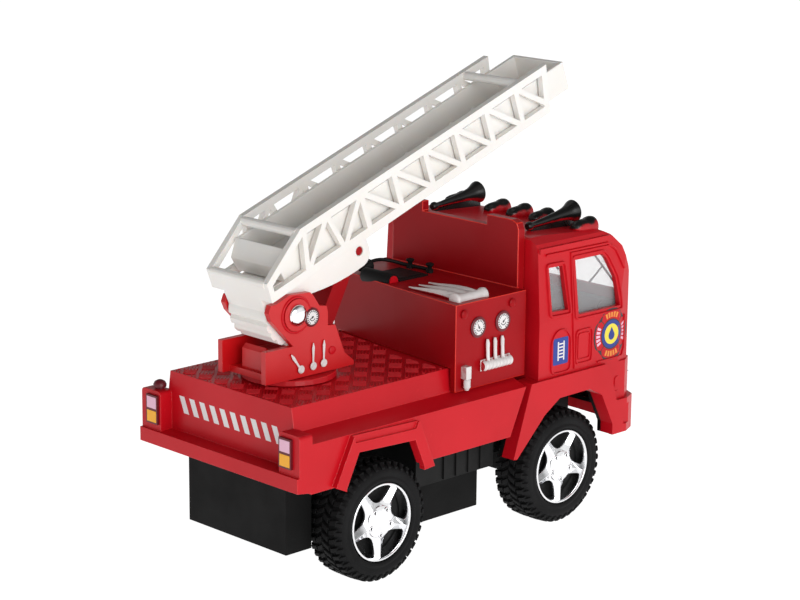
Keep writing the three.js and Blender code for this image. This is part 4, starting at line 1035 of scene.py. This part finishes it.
def nose_x(y, z):
    """Distance forward of the cab's front skin."""
    profile = [(49.7, 79.6), (65.2, 78.2), (75, 77.1), (86.6, 73.9), (94.4, 69.9), (99.2, 64)]
    x = np.interp(z, [p[0] for p in profile], [p[1] for p in profile])
    plan = np.interp(abs(y), [10, 22, 31, 35.4, 37], [80.6, 80, 78.4, 74.4, 68])
    return float(min(x, plan))


def front_bead(bm, outline, width=0.8, height=0.35, closed=True, slot=0, radius=1.4):
    """A moulding line on the cab's front."""
    path = [(nose_x(p.x, p.y), p.x, p.y) for p in dense_path(outline, closed, radius)]
    bead(bm, path, [(1, 0, 0)] * len(path), width, height, closed, slot)


def cab_front():
    """Front of the cab: windscreen surround, grille, centre panel lines and wipers."""
    bm = bmesh.new()
    front_bead(bm, [(-32.6, 75.6), (-30.4, 94.6), (30.4, 94.6), (32.6, 75.6)], 1.1, 0.4, radius=2)
    front_bead(bm, [(-29, 70.6), (29, 70.6)], 0.7, 0.3, False)
    front_bead(bm, [(-29, 54.8), (-29, 68.6), (29, 68.6), (29, 54.8)], 0.7, 0.3, radius=2)
    finish(bm, "front_lines", RED, smooth=60)
    bm = bmesh.new()
    for row in range(GRILLE["slats"]):
        z = GRILLE["low"] + row * GRILLE["pitch"]
        x = nose_x(0, z)
        slat = [(x - 0.4, z), (x - 0.4, z + 1.3), (x + 0.5, z + 1.0), (x + 0.7, z + 0.1)]
        prism(bm, "y", slat, -GRILLE["half"], GRILLE["half"])
    finish(bm, "grille_slats", BLACK, bevel=0.1, segments=1)
    wipers()


def wipers():
    """Two wipers lying on the windscreen: arm, blade and capped spindle."""
    bm = bmesh.new()
    foot_z = 75.6
    for y in (-14.0, 12.0):
        foot = Vector((nose_x(y, foot_z) + 0.5, y, foot_z))
        tip = Vector((nose_x(y - 9, 84.5) + 0.5, y - 9, 84.5))
        tube(bm, [foot, (foot + tip) / 2 + Vector((0.2, 0, 0)), tip], [0.5, 0.35, 0.3], 8)
        low = Vector((nose_x(y - 13, 79) + 0.45, y - 13, 79.0))
        high = Vector((nose_x(y - 5, 90) + 0.45, y - 5, 90.0))
        tube(bm, [low, (low + high) / 2, high], 0.38, 8)
        spindle = [(0, -1.2), (1.0, -1.2), (1.0, 0.2), (0.6, 0.5), (0, 0.5)]
        turned(bm, "x", (y, foot_z), to_side(1, spindle, nose_x(y, foot_z) + 0.5), 16)
    finish(bm, "wipers", BLACK, smooth=50)


def headlamps(side, sign):
    """Recessed headlamp pair with a ribbed clear lens and an amber corner lamp."""
    bm = bmesh.new()
    front = 78.2
    box(bm, (76.8, front - 0.3), span(sign, 24.6, 34.0), (43.4, 48.2), 0)
    lens = [(0, 77.2), (2.0, 77.2), (2.1, front + 0.2), (1.6, front + 0.7), (0, front + 1.0)]
    for y in (26.9, 31.2):
        turned(bm, "x", (y * sign, 45.8), lens, 28, 1)
    finish(bm, f"headlamp_{side}", [CHROME, LAMP_CLEAR], bevel=0.1, segments=1)
    bm = bmesh.new()
    outline = [(66.4, 43.2), (66.8, 48.4), (75.8, 48.4), (75.2, 43.2)]
    side_bead(bm, outline, sign, 0.6, 0.3, radius=0.9)
    finish(bm, f"corner_panel_{side}", RED, smooth=60)


# ---- roof
def horn(side, sign):
    """Air horn moulded in red on a keel, its upper faces painted black."""
    paint = painted(f"horn_paint_{side}", RED_SHADE, BLACK_TINT, (-0.45, 0, 0.9), -0.5, -0.2, 0.3)
    bm = bmesh.new()
    y = 22.6 * sign
    low = (35.6, 103.6)
    slope = (106.0 - low[1]) / (59.0 - low[0])
    profile = [
        (0.0, 0.0), (1.1, 0.15), (1.5, 0.9), (1.5, 1.7), (0.95, 2.8), (1.0, 5.0), (1.3, 10.0),
        (1.75, 15.5), (2.3, 19.2), (3.0, 21.2), (3.7, 22.6), (3.9, 23.4), (3.4, 23.9), (0.0, 23.4),
    ]
    shell = bmesh.new()
    turned(shell, "x", (0, 0), profile, 32)
    tilt = Matrix.Rotation(-math.atan(slope), 4, "Y")
    place = Matrix.Translation(Vector((low[0], y, low[1])) * MM) @ tilt
    bmesh.ops.transform(shell, matrix=place, verts=shell.verts)
    merge(bm, shell)
    keel = [(36.4, 101.6), (59.4, 100.3), (59.2, 103.6), (50, 103.6), (37.2, 102.9)]
    prism(bm, "y", keel, y - 1.0, y + 1.0)
    finish(bm, f"horn_{side}_flared", paint, [f"horn_{side}"], smooth=45)


def merge(target, source):
    """Copies one set of shells into another."""
    mesh = bpy.data.meshes.new("joining")
    source.to_mesh(mesh)
    source.free()
    target.from_mesh(mesh)
    bpy.data.meshes.remove(mesh)


def roof_lamp(number, y):
    """Roof lamp: a flared red hood with a black painted cowl."""
    paint = painted(f"lamp_paint_{number}", RED_SHADE, BLACK_TINT, (-0.55, 0, 0.83), 0.35, 0.6, 0.3)
    bm = bmesh.new()
    profile = [
        (0.0, 50.6), (1.2, 50.75), (2.1, 51.6), (2.5, 53.2), (2.7, 55.8), (2.75, 57.2), (3.1, 57.8),
        (3.3, 59.2), (3.15, 60.3), (2.7, 60.5), (2.5, 60.0), (0.0, 59.8),
    ]
    turned(bm, "x", (y, 102.0), profile, 32)
    finish(
        bm, f"roof_lamp_{number}_hooded", paint, [f"roof_lamp_{number}"],
        smooth=50,
    )


# ---- turret
TURRET_LEVERS = [(-56.7, 68.9, -60.8, 74.4), (-51.5, 69.1, -51.4, 76.6), (-47.0, 69.3, -46.8, 76.8)]


def turret_side(side, sign):
    """Gauge, levers, button and pivot rings on one turret plate."""
    y = TURRET_PLATE_Y
    dial = f"turret_gauge_{side}"
    gauge(dial, "turret", dial, (-51.9, 85.1), y + 0.05, sign, 2.7, 3.1, 205)
    for number, lever in enumerate(TURRET_LEVERS, 1):
        turret_lever(f"turret_lever_{side}_{number}", lever, y, sign)
    bm = bmesh.new()
    button = [(0, -0.1), (1.35, -0.1), (1.35, 0.35), (1.0, 0.55), (0, 0.6)]
    turned(bm, "y", (-43.0, 72.7), to_side(sign, button, y), 24)
    ring = [(6.1, -0.1), (6.1, 0.25), (5.9, 0.45), (5.5, 0.45), (5.3, 0.25), (5.3, -0.1)]
    turned(bm, "y", (PIVOT["x"], PIVOT["z"]), to_side(sign, ring, y), 48)
    finish(bm, f"turret_button_{side}", RED, smooth=50, body="turret")


def turret_lever(node, lever, y, sign):
    """Flat lever with a ringed foot; only its outer faces carry the white paint."""
    paint = painted(f"{node}_paint", RED_SHADE, PAINT_WHITE, (0, sign, 0), 0.1, 0.35)
    foot_x, foot_z, tip_x, tip_z = lever
    bm = bmesh.new()
    along = Vector((tip_x - foot_x, tip_z - foot_z)).normalized()
    across = left_of(along)
    foot, tip = Vector((foot_x, foot_z)), Vector((tip_x, tip_z))
    outline = [
        foot + across * 0.42, foot - across * 0.42, foot + along * 2.6 - across * 0.36,
        tip - along * 1.6 - across * 0.56, tip - across * 0.16, tip + across * 0.16,
        tip - along * 1.6 + across * 0.56, foot + along * 2.6 + across * 0.36,
    ]
    prism(bm, "y", [tuple(p) for p in outline], *span(sign, y - 0.05, y + 0.6))
    disc = [(0, -0.05), (1.35, -0.05), (1.35, 0.7), (1.1, 0.9), (0.75, 0.9), (0.65, 0.75), (0, 0.75)]
    turned(bm, "y", (foot_x, foot_z), to_side(sign, disc, y), 24)
    finish(bm, f"{node}_painted", paint, (), 0.1, 1, 45, "turret")


def pivot_pin():
    """Pivot pin with a domed chrome cap at each end."""
    bm = bmesh.new()
    foot, tip = PIVOT["foot"], PIVOT["tip"]
    end = [
        (2.2, foot), (3.5, foot), (3.5, foot + 0.35), (3.1, tip - 0.7), (2.4, tip - 0.3),
        (1.3, tip - 0.07), (0, tip),
    ]
    profile = [(r, -h) for r, h in end[::-1]] + end
    turned(bm, "y", (PIVOT["x"], PIVOT["z"]), profile, 40)
    finish(bm, "pivot_pin_domed", CHROME, ["pivot_pin"], smooth=60, body="ladder")


# ---- underside
def underside():
    """Cross-head screws in the chassis, gearbox and battery door."""
    bm = bmesh.new()
    spots = [
        (8.2, 0.0, 11.3), (-70.6, 19.5, 13.9), (-70.6, -19.5, 13.9), (-36.5, 13.5, 13.9),
        (-36.5, -13.5, 13.9), (15.5, 22.5, 24.4), (15.5, -22.5, 24.4),
    ]
    for x, y, z in spots:
        head = [(0, 0.4), (1.5, 0.4), (1.5, -0.15), (1.2, -0.35), (0, -0.4)]
        turned(bm, "z", (x, y), to_side(1, head, z), 24)
        # The cross recess is a black cross just proud of the head: painted shade.
        for wide, deep in ((0.9, 0.18), (0.18, 0.9)):
            box(bm, (x - wide, x + wide), (y - deep, y + deep), (z - 0.42, z - 0.1), 1)
    finish(bm, "screws", [STEEL, DECAL_BLACK], smooth=40)


# ---- studio
def studio():
    """White sweep and even studio light."""
    bm = bmesh.new()
    reach = 20000
    for x in (-reach, reach):
        for y in (-reach, reach):
            bm.verts.new(Vector((x, y, 0)) * MM)
    verts = list(bm.verts)
    bm.faces.new((verts[0], verts[2], verts[3], verts[1]))
    mesh = bpy.data.meshes.new("floor")
    bm.to_mesh(mesh)
    bm.free()
    floor = bpy.data.objects.new("floor", mesh)
    bpy.context.scene.collection.objects.link(floor)
    material, tree, shader = new_material("floor")
    cloud = patchy(tree, 3, 2, 0.3, 0.7)
    feed(shader, {
        "Base Color": mix_colour(tree, cloud, (0.30, 0.30, 0.30), (0.32, 0.32, 0.32)),
        "Roughness": 0.9,
        "Specular IOR Level": 0.05,
        "Emission Color": (1, 1, 1, 1),
        "Emission Strength": FLOOR_GLOW,
    })
    mesh.materials.append(material)
    light_tent()
    area_light("key", **KEY)


def light_tent():
    """Surroundings: bright all round the horizon, brightest beside the vehicle, dim overhead."""
    world = bpy.data.worlds.new("tent")
    world.use_nodes = True
    tree = world.node_tree
    coord = tree.nodes.new("ShaderNodeTexCoord")
    split = tree.nodes.new("ShaderNodeSeparateXYZ")
    feed(split, {"Vector": coord.outputs["Generated"]})
    band = remap(tree, split.outputs["Z"], 0.2, 0.75, 1, 0)
    beside = remap(tree, split.outputs["Y"], -0.9, -0.1, TENT["beside"], 0)
    behind = remap(tree, split.outputs["X"], -0.95, -0.4, TENT["behind"], 0)
    ring = math_node(tree, "ADD", math_node(tree, "ADD", beside, behind), TENT["round"])
    glow = math_node(tree, "MULTIPLY", band, ring)
    strength = math_node(tree, "ADD", glow, TENT["overhead"])
    feed(tree.nodes["Background"], {"Strength": strength, "Color": (1, 1, 1, 1)})
    bpy.context.scene.world = world


def area_light(name, place, target, size, power):
    """A square lamp that faces a target."""
    light = bpy.data.lights.new(name, "AREA")
    light.shape = "SQUARE"
    light.size = size
    light.energy = power
    lamp = bpy.data.objects.new(name, light)
    lamp.location = place
    lamp.rotation_euler = (Vector(target) - Vector(place)).to_track_quat("-Z", "Y").to_euler()
    bpy.context.scene.collection.objects.link(lamp)


def camera():
    """Long lens from behind and to the right, a little above the roof line."""
    azimuth, elevation, roll = (math.radians(CAMERA[key]) for key in ("azimuth", "elevation", "roll"))
    data = bpy.data.cameras.new("camera")
    data.sensor_width = 36
    data.lens = CAMERA["lens"]
    data.clip_start = 0.01
    data.clip_end = 30
    view = bpy.data.objects.new("camera", data)
    level, rise = math.cos(elevation), math.sin(elevation)
    back = Vector((math.sin(azimuth) * level, -math.cos(azimuth) * level, rise))
    right = (-back).cross(Vector((0, 0, 1))).normalized()
    up = right.cross(-back)
    x = right * math.cos(roll) + up * math.sin(roll)
    y = up * math.cos(roll) - right * math.sin(roll)
    turn = Matrix((x, y, back)).transposed().to_4x4()
    view.matrix_world = Matrix.Translation(CAMERA_PLACE) @ turn
    bpy.context.scene.collection.objects.link(view)
    bpy.context.scene.camera = view
    bpy.context.scene.view_settings.view_transform = "Standard"


camera()
studio()
dress_frame()
for end_name in AXLES:
    for side_name, side_sign in SIDES.items():
        tyre(end_name, side_name, side_sign)
        rim(end_name, side_name, side_sign)
for build in (
    deck_tread, hazard_band, tail_peg, roof_manifold, hose_hatch, branch_pipe, cab_front, pivot_pin,
    underside,
):
    build()
for side_name, side_sign in SIDES.items():
    for build in (
        tail_lamps, pump_panel, door_details, arch_shade_panel, badge, number_plate, headlamps, horn,
        turret_side,
    ):
        build(side_name, side_sign)
for lamp_number, lamp_y in enumerate((-30, -10.6, 0, 10.6, 30), 1):
    roof_lamp(lamp_number, lamp_y)
